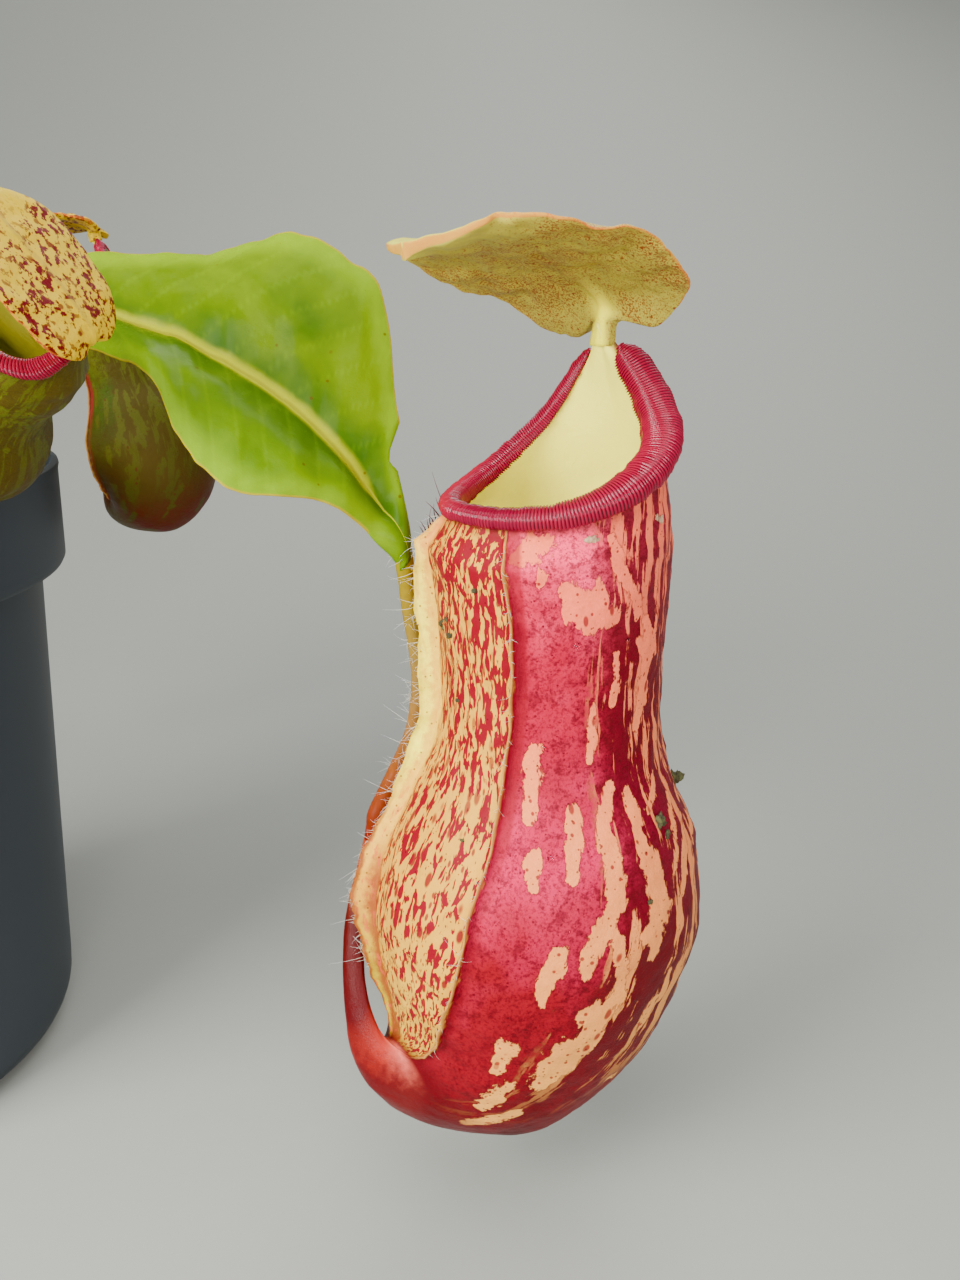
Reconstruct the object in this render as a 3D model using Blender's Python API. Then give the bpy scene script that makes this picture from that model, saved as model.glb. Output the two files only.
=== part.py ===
"""A young Nepenthes gaya in a round nursery pot, with four open pitchers and one bud.

Lengths are in millimetres and angles in degrees, and each mesh is scaled to metres as it is made.
The origin is the middle of the pot's flat underside, and +Z is up. A pitcher is drawn in a frame
of its own: f points to its winged front, l to its left side, and z up its tube.
"""

import math

import bmesh
import bpy
import numpy as np

MM = 0.001
GAP = 0.3
SHARP = 50

# Nursery pot
POT_SEGMENTS = 36
POT_HEIGHT = 100.0
POT_RIM_RADIUS = 45.0
COLLAR_HEIGHT = 16.5
COLLAR_FOOT_RADIUS = 44.4
BODY_TOP_RADIUS = 40.4
BODY_FOOT_RADIUS = 36.8
FOOT_RADIUS = 31.0
FOOT_RISE = 8.0
POT_WALL = 1.4
POT_FLOOR = 2.0
DRAIN_HOLES = 6
DRAIN_RADIUS = 3.6
DRAIN_RING = 21.0

# Growing medium
MEDIUM_TOP = 87.0
MEDIUM_LUMP = 1.3
MEDIUM_RINGS = 7

# Stem and rolled young leaf
STEM_RADIUS = 3.2
STEM_FOOT = 74.0
STEM_TOP = 113.0
STEM_SIDES = 14

# Pitcher outline, tail to rim: front f and z, back f and z, half width, sideways shift
STATIONS = np.array([
    (15.4, 44.0, 18.4, 44.6, 1.5, -18.6),
    (21.2, 36.4, 24.2, 35.4, 1.5, -14.6),
    (24.5, 29.0, 27.5, 26.2, 1.7, -10.1),
    (25.3, 24.0, 28.3, 18.2, 2.8, -5.8),
    (24.4, 22.4, 24.2, 11.2, 5.0, -2.8),
    (23.8, 23.8, 15.4, 5.8, 8.6, -1.0),
    (24.0, 28.2, 4.8, 3.2, 12.4, 0.0),
    (24.8, 34.0, -6.0, 7.4, 16.4, 0.0),
    (24.8, 40.0, -14.8, 16.0, 19.6, 0.0),
    (23.0, 48.0, -21.3, 32.0, 21.9, 0.0),
    (18.6, 56.0, -20.5, 47.5, 20.0, 0.0),
    (15.3, 64.0, -15.9, 60.0, 15.8, 0.0),
    (14.6, 72.0, -14.8, 71.0, 14.6, 0.0),
    (15.2, 82.0, -15.2, 83.0, 15.2, 0.0),
    (16.0, 89.5, -14.6, 95.0, 15.6, 0.0),
])
LAST = len(STATIONS)
# Mouth edge seen from above, every 30 degrees from the front, first down its left side and
# then down its right: distance from the axis, height
LEFT_RIM = np.array([
    (13.9, 95.2),
    (13.8, 95.4),
    (13.9, 96.4),
    (14.3, 99.4),
    (13.6, 104.4),
    (9.6, 112.2),
    (7.4, 115.2),
])
RIGHT_RIM = np.array([
    (13.9, 95.2),
    (13.0, 95.0),
    (12.4, 95.6),
    (12.5, 97.8),
    (12.3, 103.0),
    (9.6, 111.0),
    (7.4, 115.2),
])
PITCHER_WALL = 1.0
CAVITY_START = 5.0
NECK_RISE = 2.2
NECK_SPREAD = 10.0

# Wings down the front, at each station: angle from the front, then height
NEAR_ANGLE = (22, 22, 22, 22, 22, 24, 27, 29, 29, 27, 27.5, 28.5, 32, 32, 30.5, 26)
FAR_ANGLE = (22, 22, 22, 22, 22, 24, 27, 29, 30, 30, 31, 32, 34, 34, 33, 32)
NEAR_WING = (0, 0, 0, 0, 0.2, 0.8, 1.4, 1.6, 1.5, 1.4, 1.3, 1.3, 1.3, 1.4, 1.3, 0.4)
FAR_WING = (0, 0, 0, 0, 0.1, 0.5, 1.0, 2.2, 3.7, 3.0, 2.6, 2.7, 2.9, 2.6, 1.9, 0.3)
WING_ROOT = 0.65
WING_TIP = 0.32

# Peristome roll
ROLL_HALF_WIDTH = 2.3
ROLL_HALF_HEIGHT = 1.75
# Its share of the full size every 30 degrees, from its end on the right round the front to its
# end on the left
ROLL_ANGLES = (-161, -150, -120, -90, -60, -30, 0, 30, 60, 90, 120, 150, 161)
ROLL_SHARES = (0.5, 0.52, 0.64, 0.64, 0.62, 0.62, 0.64, 0.74, 0.9, 1.05, 1.0, 0.78, 0.64)
ROLL_END_ANGLE = 161.0
RIB_DEPTH = 0.24

# Lid, as f and z of its midrib from neck to tip, and its half width there
LID_MIDRIB = np.array([
    (-7.5, 115.7),
    (-7.9, 117.0),
    (-7.8, 119.1),
    (-5.2, 121.5),
    (-0.4, 123.6),
    (5.6, 124.8),
    (11.6, 125.4),
    (17.2, 125.4),
    (22.0, 124.8),
])
LID_HALF_WIDTH = (1.7, 2.1, 7.2, 12.8, 16.2, 17.2, 15.6, 10.6, 1.8)
LID_BACK_LOBE = (0.0, 0.4, 2.6, 3.6, 2.6, 1.4, 0.6, 0.0, 0.0)
LID_LEFT_LIFT = (0.0, 0.0, -2.6, -0.6, 0.5, 1.5, 2.7, 2.1, 0.0)
LID_RIGHT_LIFT = (0.0, -0.4, -4.4, -5.6, -4.6, -3.1, -1.6, 0.3, 0.0)
LID_THICKNESS = 0.9

# Leaf blades
BLADE_THICKNESS = 0.9
KEEL_DEPTH = 0.9
BLADE_FOLD = 14.0
TENDRIL_RADIUS = 1.25
TAIL_RADIUS = 1.5

# Main leaf: midrib point, then the reach from it to the far edge and to the near edge
MAIN_LEAF = np.array([
    (4.2, 0.0, 106.0, 0.0, 2.0, 0.4, 0.0, -2.0, -0.2),
    (6.5, 0.0, 106.4, 0.0, 1.9, 1.2, 0.0, -2.2, -0.6),
    (14.0, -0.3, 111.5, 0.0, 2.0, 2.2, 0.0, -3.0, -1.0),
    (24.5, -0.9, 116.5, 0.3, 3.0, 4.0, 0.5, -4.8, -1.8),
    (35.5, -1.9, 120.0, 0.6, 4.2, 5.6, 1.0, -6.4, -2.6),
    (47.0, -3.2, 122.2, 1.0, 5.2, 7.2, 1.8, -8.0, -3.4),
    (58.0, -4.8, 122.6, 1.5, 6.0, 8.6, 2.4, -8.9, -4.1),
    (68.5, -8.2, 120.2, 4.8, 9.2, 11.0, 0.6, -13.4, -4.2),
    (78.0, -11.9, 116.2, 6.5, 9.2, 17.0, -3.4, -15.2, -8.5),
    (86.8, -15.3, 110.8, 8.4, 8.3, 16.2, -5.6, -15.0, -7.8),
    (94.0, -18.2, 103.6, 5.0, 4.0, 8.5, -2.8, -8.2, -2.6),
    (99.7, -20.5, 96.0, 1.2, 1.0, 3.2, -1.6, -2.2, -1.6),
    (100.9, -21.0, 91.6, 0.7, 0.4, 0.8, -0.7, -0.4, -0.8),
])

SKIN = {
    "pot": ((0.05, 0.065, 0.08), 0.5),
    "medium": ((0.06, 0.035, 0.02), 0.95),
    "stem": ((0.25, 0.3, 0.06), 0.5),
    "leaf": ((0.16, 0.38, 0.02), 0.3),
    "cup": ((0.42, 0.04, 0.06), 0.4),
    "olive_cup": ((0.3, 0.26, 0.06), 0.45),
    "peristome": ((0.4, 0.01, 0.04), 0.25),
    "lid": ((0.5, 0.42, 0.12), 0.45),
    "bud": ((0.35, 0.36, 0.08), 0.45),
}


def material(name):
    """The named Principled material, made once."""
    if name in bpy.data.materials:
        return bpy.data.materials[name]
    colour, roughness = SKIN[name]
    made = bpy.data.materials.new(name)
    made.use_nodes = True
    shader = made.node_tree.nodes["Principled BSDF"]
    shader.inputs["Base Color"].default_value = (*colour, 1.0)
    shader.inputs["Roughness"].default_value = roughness
    shader.inputs["Metallic"].default_value = 0.0
    return made


def add_object(name, points, faces, skin):
    """One named object from millimetre points, with its faces turned outward."""
    mesh = bpy.data.meshes.new(name)
    mesh.from_pydata((np.asarray(points) * MM).tolist(), [], [list(map(int, f)) for f in faces])
    shell = bmesh.new()
    shell.from_mesh(mesh)
    bmesh.ops.recalc_face_normals(shell, faces=shell.faces)
    shell.to_mesh(mesh)
    shell.free()
    mesh.shade_smooth()
    mesh.set_sharp_from_angle(angle=math.radians(SHARP))
    mesh.materials.append(material(skin))
    obj = bpy.data.objects.new(name, mesh)
    bpy.context.scene.collection.objects.link(obj)
    return obj


def smooth(rows, t):
    """A Catmull-Rom curve through the rows, read at positions t from 0 to the last row."""
    rows = np.asarray(rows, float)
    if rows.ndim == 1:
        rows = rows[:, None]
    last = len(rows) - 1
    t = np.clip(np.atleast_1d(np.asarray(t, float)), 0, last)
    i = np.minimum(t.astype(int), last - 1)
    w = (t - i)[:, None]
    padded = np.vstack([2 * rows[0] - rows[1], rows, 2 * rows[-1] - rows[-2]])
    a, b, c, d = padded[i], padded[i + 1], padded[i + 2], padded[i + 3]
    cubic = -a + 3 * b - 3 * c + d
    return 0.5 * (2 * b + (c - a) * w + (2 * a - 5 * b + 4 * c - d) * w**2 + cubic * w**3)


def along_route(rows, count):
    """The curve through the rows, read at equal steps along its first three columns."""
    dense = smooth(rows, np.linspace(0, len(rows) - 1, 40 * len(rows)))
    length = np.append(0, np.cumsum(np.linalg.norm(np.diff(dense[:, :3], axis=0), axis=1)))
    wanted = np.linspace(0, length[-1], count)
    return np.stack([np.interp(wanted, length, column) for column in dense.T], -1)


def unit(v):
    """The vectors at length one."""
    v = np.asarray(v, float)
    return v / np.linalg.norm(v, axis=-1, keepdims=True)


def loft(rings, crossed=lambda row, column: False):
    """One closed body through the rings, each end closed by a fan about its middle.

    A ring has as many points as the one before it, or half as many. Where crossed is true,
    a quad is split along its other diagonal.
    """
    points = [p for ring in rings for p in ring]
    starts = np.cumsum([0] + [len(ring) for ring in rings])
    faces = []
    for row in range(len(rings) - 1):
        a, b = starts[row], starts[row + 1]
        n, m = len(rings[row]), len(rings[row + 1])
        if n == m:
            for i in range(n):
                j = (i + 1) % n
                if crossed(row, i):
                    faces += [(a + i, a + j, b + i), (a + j, b + j, b + i)]
                else:
                    faces += [(a + i, a + j, b + j), (a + i, b + j, b + i)]
        else:
            for i in range(m):
                j = (i + 1) % m
                a0, a1, a2 = a + 2 * i, a + 2 * i + 1, a + (2 * i + 2) % n
                faces += [(a0, a1, b + i), (a1, b + j, b + i), (a1, a2, b + j)]
    for start, ring, turned in ((starts[0], rings[0], True), (starts[-2], rings[-1], False)):
        middle = len(points)
        points.append(np.mean(ring, axis=0))
        for i in range(len(ring)):
            j = (i + 1) % len(ring)
            face = (start + i, start + j, middle)
            faces.append(face[::-1] if turned else face)
    return np.array(points), faces


def tube_frames(path, side):
    """Tangent, side and normal along a path, the side carried along without twisting."""
    tangent = unit(np.gradient(path, axis=0))
    sides = []
    for t in tangent:
        side = unit(side - t * np.dot(side, t))
        sides.append(side)
    sides = np.array(sides)
    return tangent, sides, np.cross(tangent, sides)


def lathe_rings(profile, segments):
    """Rings of a turned shape from (radius, height) pairs."""
    angle = np.arange(segments) * 2 * math.pi / segments
    circle = np.stack([np.cos(angle), np.sin(angle)], 1)
    return [np.column_stack([circle * r, np.full(segments, z)]) for r, z in profile]


def foot_arc(radius, rise, inset, steps):
    """Points of the pot's rounded foot, from its flat rest up to its side."""
    arc = []
    for k in range(steps + 1):
        turn = math.radians(90 * k / steps)
        arc.append((radius - inset + inset * math.sin(turn), rise * (1 - math.cos(turn))))
    return arc


def make_pot():
    """A turned pot with a deep collar, a rounded foot and a ring of drain holes."""
    tuck = POT_HEIGHT - COLLAR_HEIGHT
    outer = [(DRAIN_RING / 2, 0.0)]
    outer += foot_arc(BODY_FOOT_RADIUS, FOOT_RISE, BODY_FOOT_RADIUS - FOOT_RADIUS, 4)
    outer += [
        (BODY_TOP_RADIUS, tuck - 0.8),
        (COLLAR_FOOT_RADIUS - 0.6, tuck),
        (COLLAR_FOOT_RADIUS, tuck + 1.2),
        (POT_RIM_RADIUS - 0.2, POT_HEIGHT - 1.0),
        (POT_RIM_RADIUS - 0.7, POT_HEIGHT),
    ]
    inner = [
        (POT_RIM_RADIUS - POT_WALL, POT_HEIGHT),
        (COLLAR_FOOT_RADIUS - POT_WALL, tuck + 2.6),
        (BODY_TOP_RADIUS - POT_WALL, tuck + 1.4),
        (BODY_FOOT_RADIUS - POT_WALL, FOOT_RISE + POT_FLOOR),
        (FOOT_RADIUS - POT_WALL / 2, POT_FLOOR),
        (DRAIN_RING / 2, POT_FLOOR),
    ]
    pot = add_object("pot", *loft(lathe_rings(outer + inner, POT_SEGMENTS)), "pot")
    holes = []
    for k in range(DRAIN_HOLES):
        turn = 2 * math.pi * (k / DRAIN_HOLES + 0.5 / POT_SEGMENTS)
        middle = np.array([DRAIN_RING * math.cos(turn), DRAIN_RING * math.sin(turn), 0])
        rings = [ring + middle for ring in lathe_rings([(DRAIN_RADIUS, -3), (DRAIN_RADIUS, 5)], 12)]
        cutter = add_object(f"drain_cutter_{k + 1}", *loft(rings), "pot")
        cutter.hide_render = True
        cutter.display_type = "WIRE"
        holes.append(cutter)
    for cutter in holes:
        cut = pot.modifiers.new(cutter.name, "BOOLEAN")
        cut.operation = "DIFFERENCE"
        cut.object = cutter


def lumps(x, y):
    """Height of the medium's crumbs and hollows at a place."""
    coarse = np.sin(0.23 * x + 1.1) * np.cos(0.19 * y - 0.6)
    fine = np.sin(0.61 * x - 0.5 * y + 2.0) * np.cos(0.47 * y + 0.3 * x)
    return MEDIUM_LUMP * (0.7 * coarse + 0.5 * fine)


def make_medium():
    """The pot's filling of bark and moss, with a plain hole for the stem."""
    tuck = POT_HEIGHT - COLLAR_HEIGHT
    hole = STEM_RADIUS + GAP
    slack = POT_WALL + GAP
    foot = POT_FLOOR + GAP
    side = [
        (1.2, foot),
        (FOOT_RADIUS - slack, foot),
        (BODY_FOOT_RADIUS - slack - 0.1, FOOT_RISE + POT_FLOOR + GAP),
        (BODY_TOP_RADIUS - slack, tuck + 1.7),
        (COLLAR_FOOT_RADIUS - slack, tuck + 2.9),
        (COLLAR_FOOT_RADIUS - slack + 0.1, MEDIUM_TOP - 0.6),
    ]
    radii = np.linspace(COLLAR_FOOT_RADIUS - slack - 1.4, hole + 1.6, MEDIUM_RINGS)
    rings = lathe_rings(side + [(r, MEDIUM_TOP) for r in radii], POT_SEGMENTS)
    for ring in rings[len(side):]:
        ring[:, 2] += lumps(ring[:, 0], ring[:, 1])
    rings += lathe_rings([(hole, MEDIUM_TOP), (hole, STEM_FOOT - GAP)], POT_SEGMENTS)
    add_object("growing_medium", *loft(rings), "medium")


def make_stem():
    """The short upright stem, swollen at each leaf's base, standing in its hole."""
    heights = np.linspace(STEM_FOOT, STEM_TOP, 14)
    swell = STEM_RADIUS - 0.35 + 0.2 * np.sin(heights * 1.9)
    swell[-1] = STEM_RADIUS * 0.5
    add_object("stem", *loft(lathe_rings(list(zip(swell, heights)), STEM_SIDES)), "stem")


def make_rolled_leaf():
    """The youngest leaf, still rolled to a spike above the stem."""
    rows = 9
    rings = []
    for k in range(rows):
        s = k / (rows - 1)
        radius = 0.5 + 1.9 * math.sin(math.pi * (0.12 + 0.86 * s)) ** 0.9
        middle = np.array([-1.5 * s**2, 1.2 * s, STEM_TOP + GAP + 25 * s])
        angle = np.arange(10) * 2 * math.pi / 10 + 0.9 * s
        stretch = 1 + 0.22 * np.cos(angle)
        circle = np.stack([np.cos(angle) * stretch, 0.8 * np.sin(angle), 0 * angle], 1)
        rings.append(middle + radius * circle)
    add_object("rolled_leaf", *loft(rings), "leaf")


class Stand:
    """Where one pitcher stands: its foot, the way its front faces, its lean and its size."""

    def __init__(self, foot, yaw, lean=0.0, tilt=0.0, width=1.0, height=1.0):
        turn, tip, roll = math.radians(yaw), math.radians(lean), math.radians(tilt)
        front = np.array([-math.sin(turn), -math.cos(turn), 0.0])
        left = np.array([math.cos(turn), -math.sin(turn), 0.0])
        up = np.array([0.0, 0.0, 1.0])
        # A positive lean tips the mouth back, away from the front, and a positive tilt tips it right.
        self.front = front * math.cos(tip) + up * math.sin(tip)
        upright = up * math.cos(tip) - front * math.sin(tip)
        self.left = left * math.cos(roll) + upright * math.sin(roll)
        self.up = upright * math.cos(roll) - left * math.sin(roll)
        self.foot, self.width, self.height = np.array(foot), width, height

    def world(self, local):
        """World points of local (f, l, z) points."""
        local = np.asarray(local, float)
        f = local[..., 0:1] * self.width
        l = local[..., 1:2] * self.width
        z = local[..., 2:3] * self.height
        return self.foot + f * self.front + l * self.left + z * self.up


def rim_point(angle):
    """Local point of the mouth's edge at angles in degrees from the front."""
    angle = np.asarray(angle, float)
    half = len(LEFT_RIM) - 1
    whole_turn = np.vstack([RIGHT_RIM[1:][::-1], LEFT_RIM[:-1]])
    repeated = np.vstack([whole_turn, whole_turn, whole_turn])
    turned = (angle + 180) % 360 - 180
    radius, height = smooth(repeated, turned * half / 180 + 3 * half).T
    rad = np.radians(turned)
    return np.stack([radius * np.cos(rad), radius * np.sin(rad), height], -1)


def roll_share(angle):
    """Size of the peristome's roll beside its full size, at angles in degrees from the front."""
    return np.interp((np.asarray(angle, float) + 180) % 360 - 180, ROLL_ANGLES, ROLL_SHARES)


def wall_point(t, angle, inset=0.0, clearance=GAP):
    """Local points of the cup's wall at station t, inset from its outer face and clear of the roll."""
    angle = np.asarray(angle, float)
    rad = np.radians(angle)
    row = smooth(STATIONS, min(t, LAST - 1))[0]
    front_f, front_z, back_f, back_z, half, shift = row
    middle_f, middle_z = (front_f + back_f) / 2, (front_z + back_z) / 2
    reach_f, reach_z = (front_f - back_f) / 2, (front_z - back_z) / 2
    across = math.hypot(reach_f, reach_z)
    narrow = max(across - inset, 0.2) / across
    body = np.stack([
        middle_f + reach_f * narrow * np.cos(rad),
        shift + max(half - inset, 0.2) * np.sin(rad),
        middle_z + reach_z * narrow * np.cos(rad),
    ], -1)
    over = t - (LAST - 1)
    if over <= 0:
        return body
    edge, _, upward = roll_frame(angle)
    flat = np.linalg.norm(edge[:, :2], axis=1, keepdims=True)
    edge[:, :2] *= (flat - inset) / flat
    edge -= upward * (ROLL_HALF_HEIGHT * roll_share(angle)[:, None] + 2 * clearance)
    from_back = 180 - np.abs((angle + 180) % 360 - 180)
    edge[:, 2] += NECK_RISE * np.exp(-((from_back / NECK_SPREAD) ** 2))
    return body * (1 - over) + edge * over


def wing_angles(t, panel, back):
    """Angles round the cup, with four points at each wing, and each point's share of its wing."""
    near_at = float(np.interp(t, range(len(NEAR_ANGLE)), NEAR_ANGLE))
    far_at = float(np.interp(t, range(len(FAR_ANGLE)), FAR_ANGLE))
    half = min(near_at, far_at)
    row = smooth(STATIONS, min(t, LAST - 1))[0]
    radius = max(row[4], 1.5)
    root, tip = math.degrees(WING_ROOT / radius), math.degrees(WING_TIP / radius)
    root, tip = min(root, half * 0.6), min(tip, half * 0.3)
    near = [near_at - root, near_at - tip, near_at + tip, near_at + root]
    far = [-far_at - root, -far_at - tip, -far_at + tip, -far_at + root]
    front = list(np.linspace(far[-1], near[0], panel + 2)[1:-1])
    rear = list(np.linspace(near[-1], 360 + far[0], back + 2)[1:-1])
    share = [0, -1, -1, 0] + [0] * panel + [0, 1, 1, 0] + [0] * back
    return np.array(far + front + near + rear), np.array(share)


def cup_rings(outer_t, inner_t, panel, back, size):
    """Rings of a cup's skin: up the outside with its wings, over the edge and down inside."""
    rings = []
    for t in outer_t:
        angle, share = wing_angles(t, panel, back)
        ring = wall_point(t, angle, 0.0, GAP / size)
        heart = ring.mean(axis=0)
        near = float(np.interp(t, range(len(NEAR_WING)), NEAR_WING))
        far = float(np.interp(t, range(len(FAR_WING)), FAR_WING))
        height = np.where(share > 0, near, np.where(share < 0, far, 0.0))
        away = ring - heart
        away[:, 2] *= 0.3
        rings.append(ring + unit(away) * height[:, None])
    for t in inner_t:
        angle, _ = wing_angles(t, panel, back)
        rings.append(wall_point(t, angle, PITCHER_WALL / size, GAP / size))
    return rings


def make_cup(name, stand, outer_t, inner_t, panel, back, skin):
    """A pitcher's cup with its tail, wings and hollow."""
    rings = [stand.world(ring) for ring in cup_rings(outer_t, inner_t, panel, back, stand.width)]
    turned = len(outer_t) - 1
    add_object(name, *loft(rings, lambda row, column: row > turned), skin)


def roll_frame(angle):
    """Middle of the peristome's roll at each angle, with its outward and upward directions."""
    middle = rim_point(angle)
    step = 0.5
    along = unit(rim_point(np.asarray(angle) + step) - rim_point(np.asarray(angle) - step))
    flat = np.column_stack([middle[:, :2], np.zeros(len(middle))])
    outward = unit(flat - along * np.sum(flat * along, axis=1, keepdims=True))
    upward = np.cross(outward, along)
    upward *= np.sign(upward[:, 2:3])
    return middle, outward, upward


def make_peristome(name, stand, ribs, sides):
    """The ribbed roll round the mouth, open at the neck."""
    count = 2 * ribs + 1
    angle = np.linspace(-ROLL_END_ANGLE, ROLL_END_ANGLE, count)
    middle, outward, upward = roll_frame(angle)
    turn = 2 * math.pi * (np.arange(sides) + 0.5) / sides
    rings = []
    for k in range(count):
        size = float(roll_share(angle[k]))
        if k in (0, count - 1):
            size *= 0.55
        rib = RIB_DEPTH if k % 2 else -RIB_DEPTH
        wide = (ROLL_HALF_WIDTH * size + rib) * np.cos(turn)[:, None]
        upper = np.clip(np.sin(turn), -0.2, 1)[:, None]
        tall = (ROLL_HALF_HEIGHT * size + rib * upper) * np.sin(turn)[:, None]
        rings.append(stand.world(middle[k] + wide * outward[k] + tall * upward[k]))
    add_object(name, *loft(rings), "peristome")


def sheet_loft(top, bottom):
    """Rings and split rule for a sheet with two faces, split alike on both."""
    columns = top.shape[1]
    rings = [np.vstack([top[k], bottom[k][::-1]]) for k in range(len(top))]
    return rings, lambda row, column: column >= columns


def make_lid(name, stand, rows, columns):
    """The arched lid on its short neck, one half lifted and the other drooping."""
    t = np.linspace(0, len(LID_MIDRIB) - 1, rows)
    midrib = smooth(LID_MIDRIB, t)
    half = smooth(LID_HALF_WIDTH, t)[:, 0]
    lobe = smooth(LID_BACK_LOBE, t)[:, 0]
    v = np.linspace(-1, 1, columns)
    left = smooth(LID_LEFT_LIFT, t)
    right = smooth(LID_RIGHT_LIFT, t)
    opened = np.clip(half / max(LID_HALF_WIDTH), 0, 1)
    surface = np.zeros((rows, columns, 3))
    surface[..., 0] = midrib[:, None, 0] - lobe[:, None] * v**2
    surface[..., 1] = half[:, None] * v
    surface[..., 2] = midrib[:, None, 1] + np.where(v > 0, left, right) * np.abs(v) ** 1.5
    ripple = 0.7 * np.sin(t[:, None] * 2.6 + 2 * v) * np.abs(v) ** 3 * opened[:, None]
    surface[..., 2] += ripple
    slope = unit(np.gradient(midrib, axis=0))
    normal = np.stack([-slope[:, 1], 0 * t, slope[:, 0]], -1)[:, None, :]
    thick = LID_THICKNESS / stand.height / 2
    rib = 1 + 1.2 * (np.abs(v) < 0.05)[None, :, None] + 0.9 * (1 - opened)[:, None, None]
    top = stand.world(surface + normal * thick * rib)
    bottom = stand.world(surface - normal * thick * rib)
    rings, crossed = sheet_loft(top, bottom)
    add_object(name, *loft(rings, crossed), "lid")


def leaf_rings(midrib, far, near, ripple=0.0, waves=5.0, columns=7):
    """Rings of a blade whose ends close to a round stalk, with a keel under its midrib."""
    rows = len(midrib)
    along = unit(np.gradient(midrib, axis=0))
    normal = unit(np.cross(along, far - near))
    v = np.linspace(-1, 1, columns)
    s = np.linspace(0, 1, rows)
    rings = []
    for k in range(rows):
        reach = np.where(v[:, None] > 0, far[k] * v[:, None], -near[k] * v[:, None])
        spread = np.linalg.norm(far[k]) + np.linalg.norm(near[k])
        arch = 0.05 * spread * np.sin(math.pi * np.abs(v))
        wave = ripple * math.sin(2 * math.pi * waves * s[k]) * v**2 * math.sin(math.pi * s[k])
        sheet = midrib[k] + reach + (arch + wave)[:, None] * normal[k]
        keel = np.where(np.abs(v) < 0.05, KEEL_DEPTH, 0.0)[:, None]
        top = sheet + normal[k] * BLADE_THICKNESS / 2
        bottom = sheet - normal[k] * (BLADE_THICKNESS / 2 + keel)
        flat = np.vstack([top, bottom[::-1]])
        rounded = float(np.clip((10.0 - spread) / 6.5, 0, 1))
        turn = math.pi - (np.arange(2 * columns) + 0.5) * math.pi / columns
        side = unit(far[k] - near[k])
        radius = max(spread / 2, TENDRIL_RADIUS) if rounded < 1 else TENDRIL_RADIUS + 0.1 * spread
        circle = side * np.cos(turn)[:, None] * radius + normal[k] * np.sin(turn)[:, None] * radius
        circle = midrib[k] + circle
        rings.append(flat * (1 - rounded) + circle * rounded)
    return rings, along[-1], unit(far[-1] - near[-1])


def tendril_rings(path, side, sides, radii):
    """Rings of the tendril that runs on from a leaf's tip."""
    _, across, normal = tube_frames(path, side)
    turn = math.pi - (2 * np.arange(sides) + 1) * math.pi / sides
    rings = []
    for k in range(len(path)):
        circle = across[k] * np.cos(turn)[:, None] + normal[k] * np.sin(turn)[:, None]
        rings.append(path[k] + circle * radii[k])
    return rings


def make_leaf(name, midrib, far, near, tendril, radii, columns, steps, ripple=0.0, waves=5.0):
    """A leaf from its stalk to the end of its tendril, as one body."""
    rings, _, side = leaf_rings(midrib, far, near, ripple, waves, columns)
    path = along_route(tendril, steps)
    size = np.interp(np.linspace(0, 1, steps - 1), np.linspace(0, 1, len(radii)), radii)
    rings += tendril_rings(path, side, columns, np.append(size[0], size))[1:]
    blade_rows = len(midrib) - 1
    crossed = lambda row, column: row < blade_rows and column >= columns
    add_object(name, *loft(rings, crossed), "leaf")


def arched_route(start, tip, arch, steps=6):
    """Points of a leaf's midrib, level where it leaves the stem and arched over to its tip."""
    start, tip = np.array(start, float), np.array(tip, float)
    outward = unit([tip[0] - start[0], tip[1] - start[1], 0])
    points = [start]
    for k in range(1, steps + 1):
        s = k / steps
        point = start + (tip - start) * s + outward * 2 * (1 - s)
        point[2] += arch * 4 * s * (1 - s)
        points.append(point)
    points.insert(1, start + outward * 2.4)
    return np.array(points)


def plain_blade(route, half_width, roll, fold, rows, stalk=2.2, stalk_share=0.25):
    """Midrib and edge reaches of a leaf along its route, rolled and folded about its midrib."""
    midrib = along_route(route, rows)
    s = np.linspace(0, 1, rows)
    along = unit(np.gradient(midrib, axis=0))
    side = unit(np.cross([0, 0, 1], along))
    normal = np.cross(along, side)
    grown = np.clip((s - stalk_share * 0.6) / (1 - stalk_share * 0.6), 0, 1)
    width = stalk + (half_width - stalk) * np.sin(math.pi * grown**1.15) ** 0.8
    width = np.where(s > 0.9, np.minimum(width, TENDRIL_RADIUS + (1 - s) * half_width * 6), width)
    reach = []
    for sign in (1, -1):
        tilt = math.radians(roll + sign * fold)
        direction = side * math.cos(tilt) + normal * math.sin(tilt)
        reach.append(sign * direction * width[:, None])
    return midrib, reach[0], reach[1]


def tail_end(stand):
    """Where a tendril meets a pitcher's tail: the end point and the way the tail points there."""
    inner, left, outer, right = stand.world(wall_point(0.0, np.arange(0, 360, 90.0)))
    away = unit(np.cross(inner - outer, left - right))
    away *= np.sign(away @ stand.up)
    return (inner + outer) / 2 + away * GAP, away


MAIN = Stand((120.3, -26.0, 6.0), yaw=53)
FRONT = Stand((37.9, -23.8, 107.0), yaw=79, lean=50, tilt=-27.5, width=0.6, height=0.28)
BACK = Stand((59.0, 31.0, 84.0), yaw=82, lean=-17, width=0.47, height=0.445)
LEFT = Stand((-100.0, 16.0, 12.0), yaw=242, width=0.72, height=0.72)
BUD = Stand((-30.0, 84.0, 62.0), yaw=330, width=0.36, height=0.36)


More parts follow.
